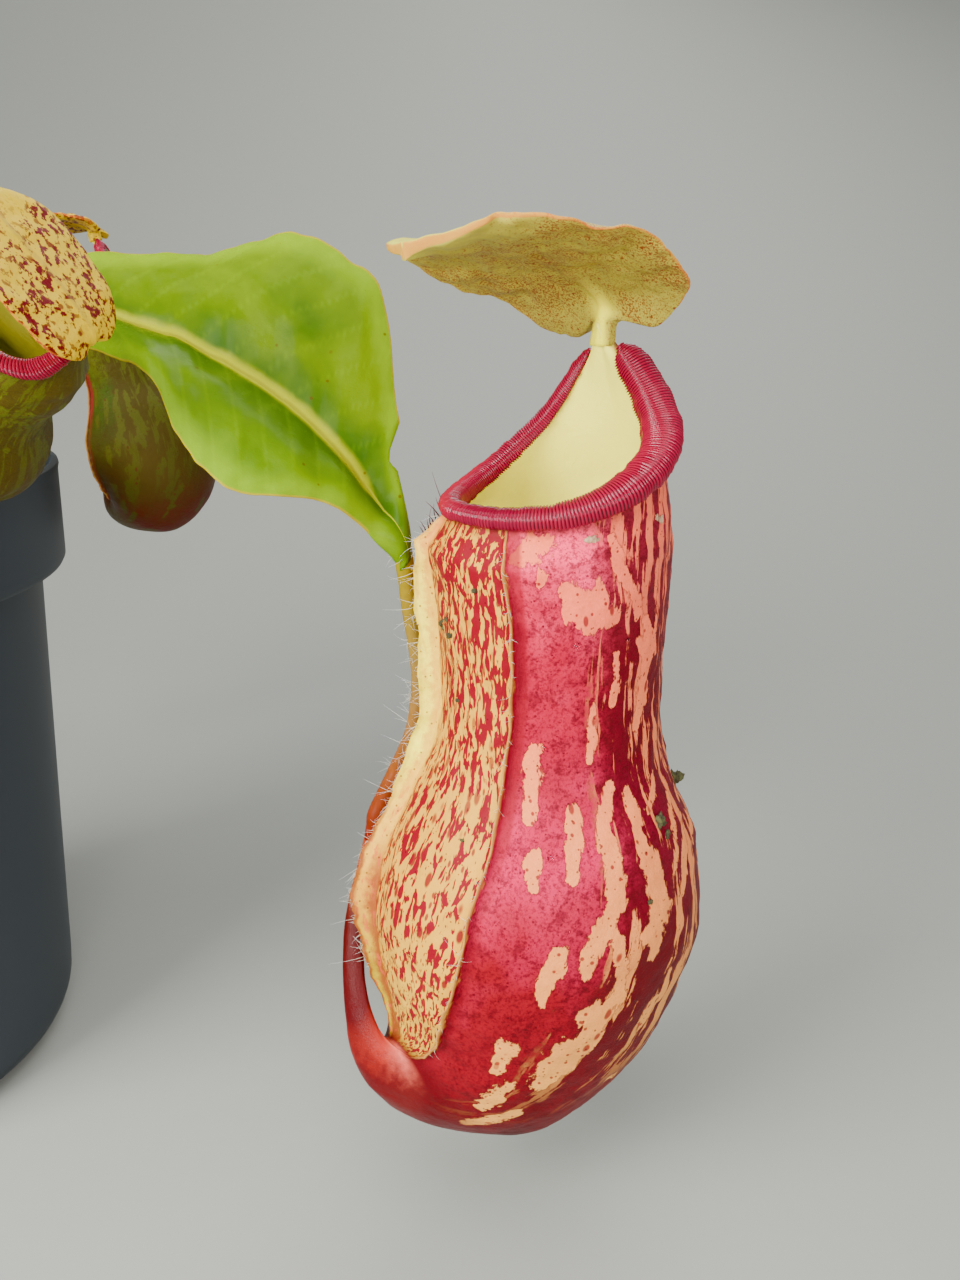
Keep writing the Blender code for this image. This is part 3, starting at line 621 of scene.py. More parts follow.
@dataclass(frozen=True)
class CupSkin:
    """Skin of an open pitcher: felted ground, pale blotches, flecked front panel, pale far wing."""

    name: str
    ground: tuple
    dark: Colour
    band: Colour
    blotch_low: Colour
    blotch_high: Colour
    panel_low: Colour
    panel_high: Colour
    fleck: Colour
    flap: tuple
    blush: Colour
    # Colours along the tail; the red cup's include a painted highlight.
    tail: tuple
    inside: Colour
    inside_deep: Colour
    # Crimson band beside the near wing: partly the skin's own colour, partly painted shade from the wing.
    stripe_and_wing_shade: Colour = (140, 0, 30)
    crest: Colour = (186, 132, 60)
    torn_edge: Colour = (132, 62, 22)
    # Painted shadow colour for the band just under the mouth's roll.
    painted_roll_shadow: Colour = (120, 40, 30)
    ramp_height: float = 100.0

    def body(self, g: Graph, place: Value, height: Value) -> Value:
        """Colour of the rounded back and sides, with its blotches, stripes and a painted highlight band.

        Args:
            g: The finish's nodes.
            place: The place on the pitcher.
            height: Its height in millimetres.

        Returns:
            The colour.
        """
        broad = g.noise(place, 0.11, 2.0)
        felt = g.noise(place, 2.2, 4.0, 0.75)
        sheet = g.place("meridian")
        tall = g.noise(g.stretch(sheet, 0.11), 0.62, 3.0, 0.62, 0.35)
        # The ground ramp by height lays a painted highlight band across the bulb at its 0.54 stop.
        level = height * 0.0098 + (broad - 0.5) * 0.3
        colour = g.ramp(level, self.ground)
        mottle = g.noise(place, 0.55, 4.0, 0.65)
        colour = g.mix(g.band(mottle, 0.48, 0.66) * 0.5, colour, self.dark)
        colour = g.mix(g.band(felt, 0.46, 0.62) * 0.5, colour, self.dark)
        flank = g.band(g.mark("turn") + mottle * 26.0, 76.0, 94.0)
        flank = flank * g.band(height, 12.0, 30.0)
        colour = g.mix(flank * 0.85, colour, self.band)
        pale = g.ramp(height / self.ramp_height, ((0.2, self.blotch_low), (0.85, self.blotch_high)))
        pale = g.shade(pale, 0.74 + felt * 0.46)
        wisp = tall + (mottle - 0.5) * 0.16
        colour = g.mix(g.band(wisp, 0.485, 0.455) * (flank * 0.9), colour, pale)
        ragged = g.noise(g.stretch(sheet, 0.5), 0.62, 5.0, 0.68, 0.3)
        ragged = (ragged - 0.52) * 3.4 + g.mark("blotch")
        colour = g.mix(g.band(ragged, -0.22, 0.02) * 0.5, colour, self.band)
        islands = g.dots(g.stretch(sheet, 0.6), 0.6, 0.26, 0.5)
        islands = islands + g.dots(sheet, 1.1, 0.28, 0.35)
        pale = g.mix(islands * 0.85, pale, self.fleck)
        colour = g.mix(g.band(ragged, 0.0, 0.16), colour, pale)
        specks = g.dots(place, 1.6, 0.22, 0.2) + g.dots(place, 1.05, 0.2, 0.4)
        return g.mix(specks * 0.75, colour, self.dark)

    def panel(self, g: Graph, place: Value, height: Value) -> Value:
        """Colour of the strip between the wings, cream with long flecks.

        Args:
            g: The finish's nodes.
            place: The place on the pitcher.
            height: Its height in millimetres.

        Returns:
            The colour.
        """
        colour = g.ramp(height / self.ramp_height, ((0.1, self.panel_low), (0.45, self.panel_high)))
        cloud = g.noise(place, 0.35, 3.0)
        colour = g.shade(colour, 0.8 + cloud * 0.4)
        sheet = g.place("meridian")
        top = g.band(height, 44.0, 90.0)
        long = g.noise(g.stretch(sheet, 0.3), 1.35, 2.0, 0.6, 0.6)
        cover = long + (0.022 + top * 0.075)
        colour = g.mix(g.band(cover, 0.55, 0.58), colour, self.fleck)
        dashes = g.stretch(sheet, 0.42)
        low = 0.95 + top * -0.6
        colour = g.mix(g.dots(dashes, 0.8, 0.38, 0.6) * low, colour, self.fleck)
        colour = g.mix(g.dots(dashes, 1.4, 0.32, 0.5) * 0.85, colour, self.fleck)
        return g.mix(g.dots(place, 1.5, 0.22, 0.35) * 0.75, colour, self.dark)

    def material(self) -> Material:
        """The finish with its parts laid over each other by the cup's marks."""
        g = Graph(self.name)
        place = g.place()
        height = g.part(place, "Z")
        panel, side, flap, station = (g.mark(name) for name in ("panel", "side", "flap", "station"))
        near, far = g.band(side, 0.05, 0.15), g.band(side, -0.05, -0.15)
        colour = self.body(g, place, height)
        wobble = (g.noise(place, 0.6, 3.0) - 0.5) * 1.1
        inside_panel = g.band(panel + wobble, -0.25, 0.15)
        upper = g.band(height, 50.0, 58.0)
        # Crimson band beside the near wing, strongest up high: partly the skin's own pigment and partly
        # painted shade cast by the wing.
        stripe_and_wing_shade = g.band(panel + wobble * 0.4, -1.9, -1.3) * near
        stripe_and_wing_shade = stripe_and_wing_shade * (0.35 + upper * 0.65)
        colour = g.mix(stripe_and_wing_shade * 0.75, colour, self.stripe_and_wing_shade)
        colour = g.mix(inside_panel, colour, self.panel(g, place, height))
        cream = g.band(panel + wobble * 1.6, 2.0, 0.7) * far
        cream = cream * g.band(panel, -2.2, -0.6)
        cloud = g.noise(place, 0.8, 4.0, 0.6)
        wing = g.ramp(height / self.ramp_height, self.flap)
        wing = g.shade(wing, 0.7 + cloud * 0.6)
        blush = g.band(flap + cloud * 0.9, 1.06, 0.7) * upper
        wing = g.mix(blush * 0.4, wing, self.blush)
        foot = g.band(flap + cloud * 0.7, 0.98, 0.5)
        foot = foot * g.band(height, 50.0, 43.0)
        wing = g.mix(foot * 0.75, wing, self.fleck)
        veins = g.noise(g.stretch(g.place("meridian"), 0.3), 1.6, 3.0, 0.6)
        veins = g.band(veins, 0.55, 0.63) * (0.6 + upper * -0.4)
        wing = g.mix(veins, wing, self.blush)
        wing = g.mix(g.dots(place, 1.3, 0.24, 0.45) * 0.7, wing, self.dark)
        colour = g.mix(cream, colour, wing)
        crest = g.band(flap, 0.5, 0.85) * near
        colour = g.mix(crest * 0.85, colour, self.crest)
        edge = g.band(flap + wobble * 0.3, 0.72, 0.9) * far
        edge = edge * (0.9 + g.band(height, 48.0, 56.0) * -0.6)
        torn = g.shade(g.tone(self.torn_edge), 0.6 + cloud * 0.8)
        colour = g.mix(edge, colour, torn)
        # The tail ramp holds a painted highlight where the red cup's tail turns; the tail is also darker
        # towards the bottom.
        tail = g.ramp(station * 0.2, self.tail)
        low = g.band(height + cloud * 6.0, 27.0, 20.0)
        tail = g.mix(low * 0.95, tail, self.band)
        colour = g.mix(g.band(station, 5.4, 4.2), colour, tail)
        # Painted shadow: a band at the top of the cup, just under the roll, darkened towards a brown-red.
        shadow = g.band(station + g.noise(place, 1.2, 3.0) * 0.5, 14.85, 15.2)
        colour = g.mix(shadow * 0.5, colour, self.painted_roll_shadow)
        lines = g.noise(g.stretch(place, 0.03), 0.55, 2.0)
        deep = g.band(height, 84.0, 40.0) + g.band(lines, 0.45, 0.75) * 0.25
        colour = g.mix(g.mark("inner"), colour, g.mix(deep, self.inside, self.inside_deep))
        g.flesh(0.12, 0.9)
        felt = g.relief(g.noise(place, 5.0, 3.0, 0.7), 0.08, 0.7)
        lumps = g.relief(g.noise(place, 0.8, 3.0), 0.25, 0.5, felt)
        polish = 0.46 + g.band(station, 6.5, 4.0) * -0.16
        return g.finish(Base_Color=colour, Roughness=polish, Normal=lumps, Specular_IOR_Level=0.1)


RED_SKIN = CupSkin(
    name="red_pitcher_skin",
    # The ground's stop at 0.54 is a painted highlight band across the bulb.
    ground=((0.04, (76, 0, 4)), (0.14, (110, 0, 15)), (0.34, (138, 0, 24)), (0.54, (206, 16, 76)),
            (0.64, (166, 2, 48)), (0.76, (176, 6, 50)), (0.92, (255, 62, 104))),
    dark=(76, 0, 10),
    band=(84, 0, 10),
    blotch_low=(226, 156, 72),
    blotch_high=(250, 112, 78),
    panel_low=(206, 166, 36),
    panel_high=(216, 156, 42),
    fleck=(128, 0, 24),
    flap=((0.14, (150, 132, 6)), (0.32, (176, 148, 8)), (0.42, (214, 154, 40)), (0.52, (232, 178, 50)),
          (0.6, (250, 230, 52)), (0.85, (250, 222, 56)), (0.95, (222, 140, 60))),
    blush=(206, 74, 46),
    # The stops at 0.62 and 0.78 are a painted highlight where the tail turns.
    tail=((0.0, (150, 60, 24)), (0.2, (76, 8, 5)), (0.45, (80, 2, 8)), (0.62, (166, 40, 28)),
          (0.78, (214, 96, 78)), (0.88, (92, 0, 10)), (1.0, (66, 0, 6))),
    inside=(255, 246, 96),
    inside_deep=(252, 238, 84),
)
OLIVE_SKIN = CupSkin(
    name="olive_pitcher_skin",
    ground=((0.05, (92, 20, 14)), (0.3, (72, 52, 10)), (0.6, (62, 84, 8)), (0.9, (112, 108, 24))),
    dark=(70, 50, 8),
    band=(76, 62, 10),
    blotch_low=(74, 70, 12),
    blotch_high=(92, 98, 18),
    panel_low=(104, 76, 22),
    panel_high=(122, 112, 30),
    fleck=(88, 34, 12),
    flap=((0.1, (110, 84, 22)), (0.9, (130, 118, 34))),
    blush=(110, 60, 24),
    tail=((0.0, (112, 72, 16)), (0.5, (92, 44, 12)), (0.95, (84, 30, 10))),
    inside=(210, 204, 60),
    inside_deep=(180, 176, 40),
)


@dataclass(frozen=True)
class PeristomeSkin:
    """Glossy ribbed crimson of the roll round the mouth."""

    name: str = "peristome_gloss"
    crest: Colour = (142, 0, 44)
    # Painted shade colour for the grooves between the ribs.
    groove: Colour = (46, 0, 10)
    front: Colour = (110, 0, 36)
    dull: Colour = (158, 12, 42)
    teeth: Colour = (60, 0, 8)

    def material(self) -> Material:
        """The finish, darker in its grooves as painted shade, and duller round the front corner and far
        band.
        """
        g = Graph(self.name)
        place = g.place()
        cloud = g.noise(place, 0.35, 3.0)
        # Painted shade: the grooves between the ribs are darkened almost to black.
        colour = g.mix(g.band(g.mark("rib"), -0.9, 0.5), self.groove, self.crest)
        front = g.band(g.mark("from_front"), 62.0, 18.0) * g.band(cloud, 0.3, 0.6)
        colour = g.mix(front * 0.8, colour, self.front)
        far_band = g.band(g.mark("side"), 0.1, -0.35) * g.band(g.mark("outward"), -0.1, 0.35)
        colour = g.mix(far_band * 0.7, colour, self.dull)
        colour = g.mix(g.mark("tooth"), colour, self.teeth)
        colour = g.shade(colour, 0.86 + cloud * 0.28)
        g.flesh(0.08, 0.6)
        fine = g.relief(g.noise(place, 3.5, 2.0), 0.04, 0.4)
        rough = 0.1 + cloud * 0.1
        return g.finish(Base_Color=colour, Roughness=rough, Normal=fine, Specular_IOR_Level=0.24)


@dataclass(frozen=True)
class LidSkin:
    """Yellow lid with dark red speckle, net veins and a thin orange margin."""

    name: str
    ground: Colour
    root: Colour
    speck: Colour
    margin: Colour = (196, 96, 34)
    tip: Colour = (188, 190, 70)
    ridge: Colour = (150, 120, 60)
    speck_size: float = 1.0
    depth: float = 0.45
    strength: float = 0.75

    def material(self) -> Material:
        """The finish, paler at the neck, where on the large lid painted light is laid over its own
        paleness, and densest in speckle across the middle.
        """
        g = Graph(self.name)
        place = g.place()
        share, across, rim = g.mark("share"), g.mark("across"), g.mark("rim")
        cloud = g.noise(place, 0.16, 3.0)
        colour = g.shade(g.tone(self.ground), 0.78 + cloud * 0.44)
        from_neck = share + abs(across) * 0.42
        # Towards the neck the colour goes to root; on the large lid this bright root is painted light on
        # the neck, which the lid shades, over the neck's own paleness.
        colour = g.mix(g.band(from_neck, 0.46, 0.2), colour, self.root)
        tip = g.band(share, 0.84, 0.97) * g.band(cloud, 0.35, 0.6)
        colour = g.mix(tip * 0.5, colour, self.tip)
        distance, _ = g.cells(place, 0.55)
        middle = g.band(from_neck, 0.26, 0.5) * g.band(share, 1.0, 0.7)
        fine = g.noise(place, 4.0 / self.speck_size, 3.0, 0.6)
        patch = 0.5 + g.band(cloud, 0.38, 0.62) * 0.5
        thick = middle * patch
        colour = g.mix(thick * 0.22, colour, self.speck)
        stipple = g.band(fine + thick * 0.1, 0.58, 0.63)
        stipple = stipple * (g.band(thick, 0.05, 0.75) * self.strength)
        colour = g.mix(stipple, colour, self.speck)
        points = g.dots(place, 2.2 / self.speck_size, 0.28, 0.5)
        points = points + g.dots(place, 1.0 / self.speck_size, 0.24, 0.4)
        colour = g.mix(points * ((0.12 + middle) * 0.75), colour, self.speck)
        ridge = g.band(abs(across), 0.06, 0.02) * g.band(share, 0.2, 0.4)
        colour = g.mix(ridge * 0.35, colour, self.ridge)
        colour = g.mix(g.band(rim + fine * 0.2, 0.3, 0.14) * 0.6, colour, self.margin)
        g.flesh(self.depth, 2.2, (1.0, 0.8, 0.3))
        grain = g.relief(g.noise(place, 2.4, 4.0, 0.6), 0.12, 0.5)
        veins = g.relief(g.band(distance, 0.2, 0.7), 0.15, 0.35, grain)
        return g.finish(Base_Color=colour, Roughness=0.48, Normal=veins, Specular_IOR_Level=0.06)


@dataclass(frozen=True)
class LeafSkin:
    """Glossy yellow-green blade with a pale midrib, fine nerves, freckles, a thin tan margin and painted
    light on its halves.
    """

    name: str = "leaf_gloss"
    # Light and deep are the blade's paler and darker greens, spread by cloud as its own tone and by side
    # as painted light and shade.
    light: Colour = (92, 116, 0)
    deep: Colour = (40, 76, 0)
    pale_green_and_painted_light: Colour = (136, 172, 0)
    midrib: Colour = (174, 172, 10)
    margin: Colour = (176, 132, 30)
    freckle: Colour = (84, 50, 8)
    groove: Colour = (104, 92, 12)
    tendril: tuple = (
        (0.0, (126, 136, 0)), (0.1, (132, 112, 8)), (0.4, (132, 102, 46)), (0.7, (140, 80, 30)),
        (1.0, (110, 16, 10)),
    )

    def material(self) -> Material:
        """The finish of blade and tendril together."""
        g = Graph(self.name)
        place = g.place()
        share, across, rim, tendril = (g.mark(m) for m in ("share", "across", "rim", "tendril"))
        cloud = g.noise(place, 0.07, 3.0, 0.5, 0.8)
        # The cloud gives the blade's own uneven tone; the across term lightens the far half as painted
        # light.
        lit = g.band(cloud * 0.7 + across * 0.25, 0.2, 0.62)
        colour = g.mix(lit, self.deep, self.light)
        colour = g.mix(g.band(rim, 5.0, 1.2) * 0.4, colour, self.pale_green_and_painted_light)
        # Painted light: the near half lightened in cloudy patches.
        near = g.band(across, 0.25, -0.6) * (0.08 + cloud * 0.42)
        colour = g.mix(near, colour, self.pale_green_and_painted_light)
        colour = g.shade(colour, 0.9 + g.noise(place, 0.6, 4.0, 0.6) * 0.2)
        colour = g.mix(g.band(g.mark("nerve"), 0.35, 0.95) * 0.08, colour, self.pale_green_and_painted_light)
        sway = (g.noise(place, 0.4) - 0.5) * 0.5
        width = abs(g.mark("from_midrib") + sway)
        colour = g.mix(g.band(width, 1.6, 0.4) * 0.7, colour, self.midrib)
        colour = g.mix(g.band(width, 0.4, 0.1) * 0.4, colour, self.groove)
        colour = g.mix(g.band(rim, 0.4, 0.12) * 0.55, colour, self.margin)
        freckles = g.dots(place, 0.42, 0.13, 0.3) * g.band(share, 0.45, 0.8)
        colour = g.mix(freckles * 0.7, colour, self.freckle)
        colour = g.mix(g.dots(place, 1.1, 0.1, 0.25) * 0.45, colour, self.freckle)
        cord = g.shade(g.ramp(tendril, self.tendril), 0.75 + g.noise(place, 0.9, 3.0) * 0.5)
        colour = g.mix(g.band(tendril, 0.005, 0.03), colour, cord)
        g.flesh(0.12, 1.0, (0.7, 1.0, 0.12))
        quilt = g.relief(g.noise(place, 0.5, 3.0), 0.2, 0.3)
        fine = g.relief(g.noise(place, 4.0, 2.0), 0.03, 0.35, quilt)
        rough = 0.16 + g.noise(place, 0.4, 3.0) * 0.2
        return g.finish(Base_Color=colour, Roughness=rough, Normal=fine, Specular_IOR_Level=0.035)


@dataclass(frozen=True)
class StemSkin:
    """Green-brown stem with scars and stripes."""

    name: str = "stem_bark"
    tones: tuple = ((0.3, (84, 70, 30)), (0.5, (128, 134, 46)), (0.72, (164, 168, 74)))
    scar: Colour = (90, 40, 24)

    def material(self) -> Material:
        """The finish."""
        g = Graph(self.name)
        place = g.place()
        streak = g.noise(g.stretch(place, 0.2), 1.2, 4.0, 0.6)
        colour = g.ramp(streak, self.tones)
        colour = g.mix(g.dots(place, 1.2, 0.25, 0.3) * 0.6, colour, self.scar)
        bump = g.relief(streak, 0.3, 0.6)
        return g.finish(Base_Color=colour, Roughness=0.5, Normal=bump)


@dataclass(frozen=True)
class BudSkin:
    """Furred olive skin of the unopened pitcher, clouded with tan and dotted with red."""

    name: str = "bud_skin_finish"
    tones: tuple = ((0.35, (118, 118, 24)), (0.6, (150, 124, 36)), (0.75, (144, 66, 26)))
    speck: Colour = (104, 26, 12)

    def material(self) -> Material:
        """The finish."""
        g = Graph(self.name)
        place = g.place()
        cloud = g.noise(place, 0.14, 4.0)
        colour = g.ramp(cloud, self.tones)
        colour = g.mix(g.dots(place, 0.7, 0.25, 0.4) * 0.6, colour, self.speck)
        bump = g.relief(g.noise(place, 2.0, 4.0), 0.15, 0.6)
        sheen = {"Sheen_Weight": 0.2, "Sheen_Roughness": 0.4}
        return g.finish(Base_Color=colour, Roughness=0.5, Normal=bump, **sheen)


@dataclass(frozen=True)
class PotPlastic:
    """Dark blue-grey moulded plastic, scuffed, with patches of dried water marks on its side."""

    name: str = "nursery_pot_plastic"
    body: Colour = (33, 41, 49)
    dust: Colour = (82, 82, 76)
    scratch: Colour = (62, 70, 76)

    def material(self) -> Material:
        """The finish."""
        g = Graph(self.name)
        place = g.place()
        cloud = g.noise(place, 0.05, 4.0, 0.6)
        colour = g.shade(g.tone(self.body), 0.82 + cloud * 0.36)
        film = g.band(g.noise(place, 0.12, 5.0, 0.65, 0.6), 0.5, 0.78) * 0.3
        colour = g.mix(film, colour, self.dust)
        colour = g.mix(g.dots(place, 0.5, 0.1, 0.3) * 0.4, colour, self.dust)
        scratch = g.noise(g.stretch(place, 0.06), 2.6, 2.0)
        colour = g.mix(g.band(scratch, 0.72, 0.78) * 0.2, colour, self.scratch)
        rough = 0.38 + cloud * 0.3
        bump = g.relief(g.noise(place, 2.5, 3.0), 0.06, 0.35)
        return g.finish(Base_Color=colour, Roughness=rough, Normal=bump)


@dataclass(frozen=True)
class CrumbMix:
    """Loose dark filling, chips and moss; each crumb keeps a chance value of its own."""

    name: str
    tones: tuple
    grain: float = 1.0
    roughness: float = 0.9

    def material(self) -> Material:
        """The finish."""
        g = Graph(self.name)
        place = g.place()
        fibre = g.noise(g.stretch(place, 1.0, self.grain), 1.3, 5.0, 0.65)
        spread = fibre * 0.75 + g.mark("chance") * 0.5
        colour = g.ramp(spread - 0.12, self.tones)
        bump = g.relief(g.noise(place, 2.6, 5.0, 0.7), 0.5, 0.8)
        return g.finish(Base_Color=colour, Roughness=self.roughness, Normal=bump)


@dataclass(frozen=True)
class HairStrand:
    """Plain growth hair, changing colour to its tip."""

    name: str
    root: Colour
    tip: Colour

    def material(self) -> Material:
        """The finish."""
        g = Graph(self.name)
        g.flesh(0.3, 0.3)
        colour = g.ramp(g.mark("tip"), ((0.1, self.root), (0.8, self.tip)))
        return g.finish(Base_Color=colour, Roughness=0.45)


@dataclass(frozen=True)
class Dew:
    """Clear water drops."""

    name: str = "dew"

    def material(self) -> Material:
        """The finish."""
        g = Graph(self.name)
        return g.finish(Base_Color=(255, 250, 250), Roughness=0.02, Transmission_Weight=1.0, IOR=1.33)


@dataclass(frozen=True)
class StudioPaper:
    """Pale seamless paper of the studio."""

    name: str = "studio_paper"
    colour: Colour = (146, 148, 142)

    def material(self) -> Material:
        """The finish."""
        g = Graph(self.name)
        texture = g.value("ShaderNodeTexCoord", {}, "Object")
        grain = g.noise(texture, 300.0, 3.0)
        colour = g.shade(g.tone(self.colour), 0.985 + grain * 0.03)
        return g.finish(Base_Color=colour, Roughness=0.95, Specular_IOR_Level=0.1)


@dataclass(frozen=True)
class Stand:
    """Where one pitcher stands: its foot, the way its front faces, its lean and its size."""

    foot: tuple
    yaw: float
    lean: float = 0.0
    tilt: float = 0.0
    width: float = 1.0
    height: float = 1.0

    def axes(self) -> tuple[Array, Array, Array]:
        """The pitcher's front, left and up directions."""
        turn, tip, roll = (math.radians(a) for a in (self.yaw, self.lean, self.tilt))
        front = np.array([-math.sin(turn), -math.cos(turn), 0.0])
        left = np.array([math.cos(turn), -math.sin(turn), 0.0])
        up = np.array([0.0, 0.0, 1.0])
        leaning = front * math.cos(tip) + up * math.sin(tip)
        upright = up * math.cos(tip) - front * math.sin(tip)
        return (
            leaning, left * math.cos(roll) + upright * math.sin(roll),
            upright * math.cos(roll) - left * math.sin(roll),
        )

    def world(self, local: Sequence) -> Array:
        """Places on the plant of (f, l, z) places on the pitcher."""
        local = np.asarray(local, float)
        front, left, up = self.axes()
        f, l, z = (local[..., i:i + 1] for i in range(3))
        level = f * self.width * front + l * self.width * left
        return np.array(self.foot) + level + z * self.height * up


MAIN = Stand((120.3, -26.0, 6.0), yaw=53)
FRONT = Stand((37.9, -23.8, 107.0), yaw=79, lean=50, tilt=-27.5, width=0.6, height=0.28)
BACK = Stand((59.0, 31.0, 84.0), yaw=82, lean=-17, width=0.47, height=0.445)
LEFT = Stand((-100.0, 16.0, 12.0), yaw=242, width=0.72, height=0.72)
BUD = Stand((-30.0, 84.0, 62.0), yaw=330, width=0.36, height=0.36)


@dataclass(frozen=True)
class PitcherForm:
    """The outline that every pitcher shares, in its own frame.

    A station gives the front's f and z, the back's f and z, the half width and the sideways
    shift. The rims give the mouth's edge every 30 degrees from the front, as distance from the
    axis and height, down the pitcher's left side and down its right.
    """

    stations: tuple = (
        (15.4, 44.0, 18.4, 44.6, 1.5, -18.6),
        (21.2, 36.4, 24.2, 35.4, 1.5, -14.6),
        (24.5, 29.0, 27.5, 26.2, 1.7, -10.1),
        (25.3, 24.0, 28.3, 18.2, 2.8, -5.8),
        (24.4, 22.4, 24.2, 11.2, 5.0, -2.8),
        (23.8, 23.8, 15.4, 5.8, 8.6, -1.0),
        (24.0, 28.2, 4.8, 3.2, 12.4, 0.0),
        (24.8, 34.0, -6.0, 7.4, 16.4, 0.0),
        (24.8, 40.0, -14.8, 16.0, 19.6, 0.0),
        (23.0, 48.0, -21.3, 32.0, 21.9, 0.0),
        (18.6, 56.0, -20.5, 47.5, 20.0, 0.0),
        (15.3, 64.0, -15.9, 60.0, 15.8, 0.0),
        (14.6, 72.0, -14.8, 71.0, 14.6, 0.0),
        (15.2, 82.0, -15.2, 83.0, 15.2, 0.0),
        (16.0, 89.5, -14.6, 95.0, 15.6, 0.0),
    )
    left_rim: tuple = (
        (13.9, 95.2), (13.8, 95.4), (13.9, 96.4), (14.3, 99.4), (13.6, 104.4), (9.6, 112.2), (7.4, 115.2),
    )
    right_rim: tuple = (
        (13.9, 95.2), (13.0, 95.0), (12.4, 95.6), (12.5, 97.8), (12.3, 103.0), (9.6, 111.0), (7.4, 115.2),
    )
    wall: float = 1.0
    cavity_start: float = 5.0
    neck_rise: float = 2.2
    neck_spread: float = 10.0
    roll_half_width: float = 2.3
    roll_half_height: float = 1.75
    roll_angles: tuple = (-161, -150, -120, -90, -60, -30, 0, 30, 60, 90, 120, 150, 161)
    roll_shares: tuple = (0.5, 0.52, 0.64, 0.64, 0.62, 0.62, 0.64, 0.74, 0.9, 1.05, 1.0, 0.78, 0.64)

    def roll_share(self, angle: Array) -> Array:
        """Size of the roll beside its full size, at angles from the front."""
        return np.interp(from_front(angle), self.roll_angles, self.roll_shares)

    @property
    def last(self) -> int:
        """The station number of the mouth's edge."""
        return len(self.stations)

    def rim_point(self, angle: Array) -> Array:
        """Middle of the mouth's edge at angles from the front."""
        half = len(self.left_rim) - 1
        whole = np.vstack([np.array(self.right_rim[1:])[::-1], np.array(self.left_rim[:-1])])
        turned = from_front(angle)
        radius, height = smooth(np.vstack([whole] * 3), turned * half / 180 + 3 * half).T
        rad = np.radians(turned)
        return np.stack([radius * np.cos(rad), radius * np.sin(rad), height], -1)

    def roll_frame(self, angle: Array) -> tuple[Array, Array, Array]:
        """Frame of the roll round the mouth.

        Args:
            angle: Angles from the front.

        Returns:
            Its middle, and its outward and upward directions.
        """
        middle = self.rim_point(angle)
        angle = np.asarray(angle)
        along = unit(self.rim_point(angle + 0.5) - self.rim_point(angle - 0.5))
        flat = np.column_stack([middle[:, :2], np.zeros(len(middle))])
        outward = unit(flat - along * np.sum(flat * along, axis=1, keepdims=True))
        upward = np.cross(outward, along)
        return middle, outward, upward * np.sign(upward[:, 2:3])

    def wall_point(self, t: float, angle: Array, inset: float = 0.0, tuck: float = 0.0) -> Array:
        """Places on the cup's wall.

        Args:
            t: Station, from the tail's end to the mouth's edge.
            angle: Angles from the front.
            inset: Depth below the outer face.
            tuck: How far the edge reaches up into the roll.

        Returns:
            One place for each angle.
        """
        rad = np.radians(np.asarray(angle, float))
        front_f, front_z, back_f, back_z, half, shift = smooth(self.stations, min(t, self.last - 1))[0]
        reach_f, reach_z = (front_f - back_f) / 2, (front_z - back_z) / 2
        across = math.hypot(reach_f, reach_z)
        narrow = max(across - inset, 0.2) / across
        body = np.stack([
            (front_f + back_f) / 2 + reach_f * narrow * np.cos(rad),
            shift + max(half - inset, 0.2) * np.sin(rad),
            (front_z + back_z) / 2 + reach_z * narrow * np.cos(rad),
        ], -1)
        over = t - (self.last - 1)
        if over <= 0:
            return body
        edge, _, upward = self.roll_frame(angle)
        flat = np.linalg.norm(edge[:, :2], axis=1, keepdims=True)
        edge[:, :2] *= (flat - inset) / flat
        edge -= upward * (self.roll_half_height * self.roll_share(angle)[:, None] - tuck)
        from_back = 180 - np.abs(from_front(angle))
        edge[:, 2] += self.neck_rise * np.exp(-((from_back / self.neck_spread) ** 2))
        return body * (1 - over) + edge * over


FORM = PitcherForm()

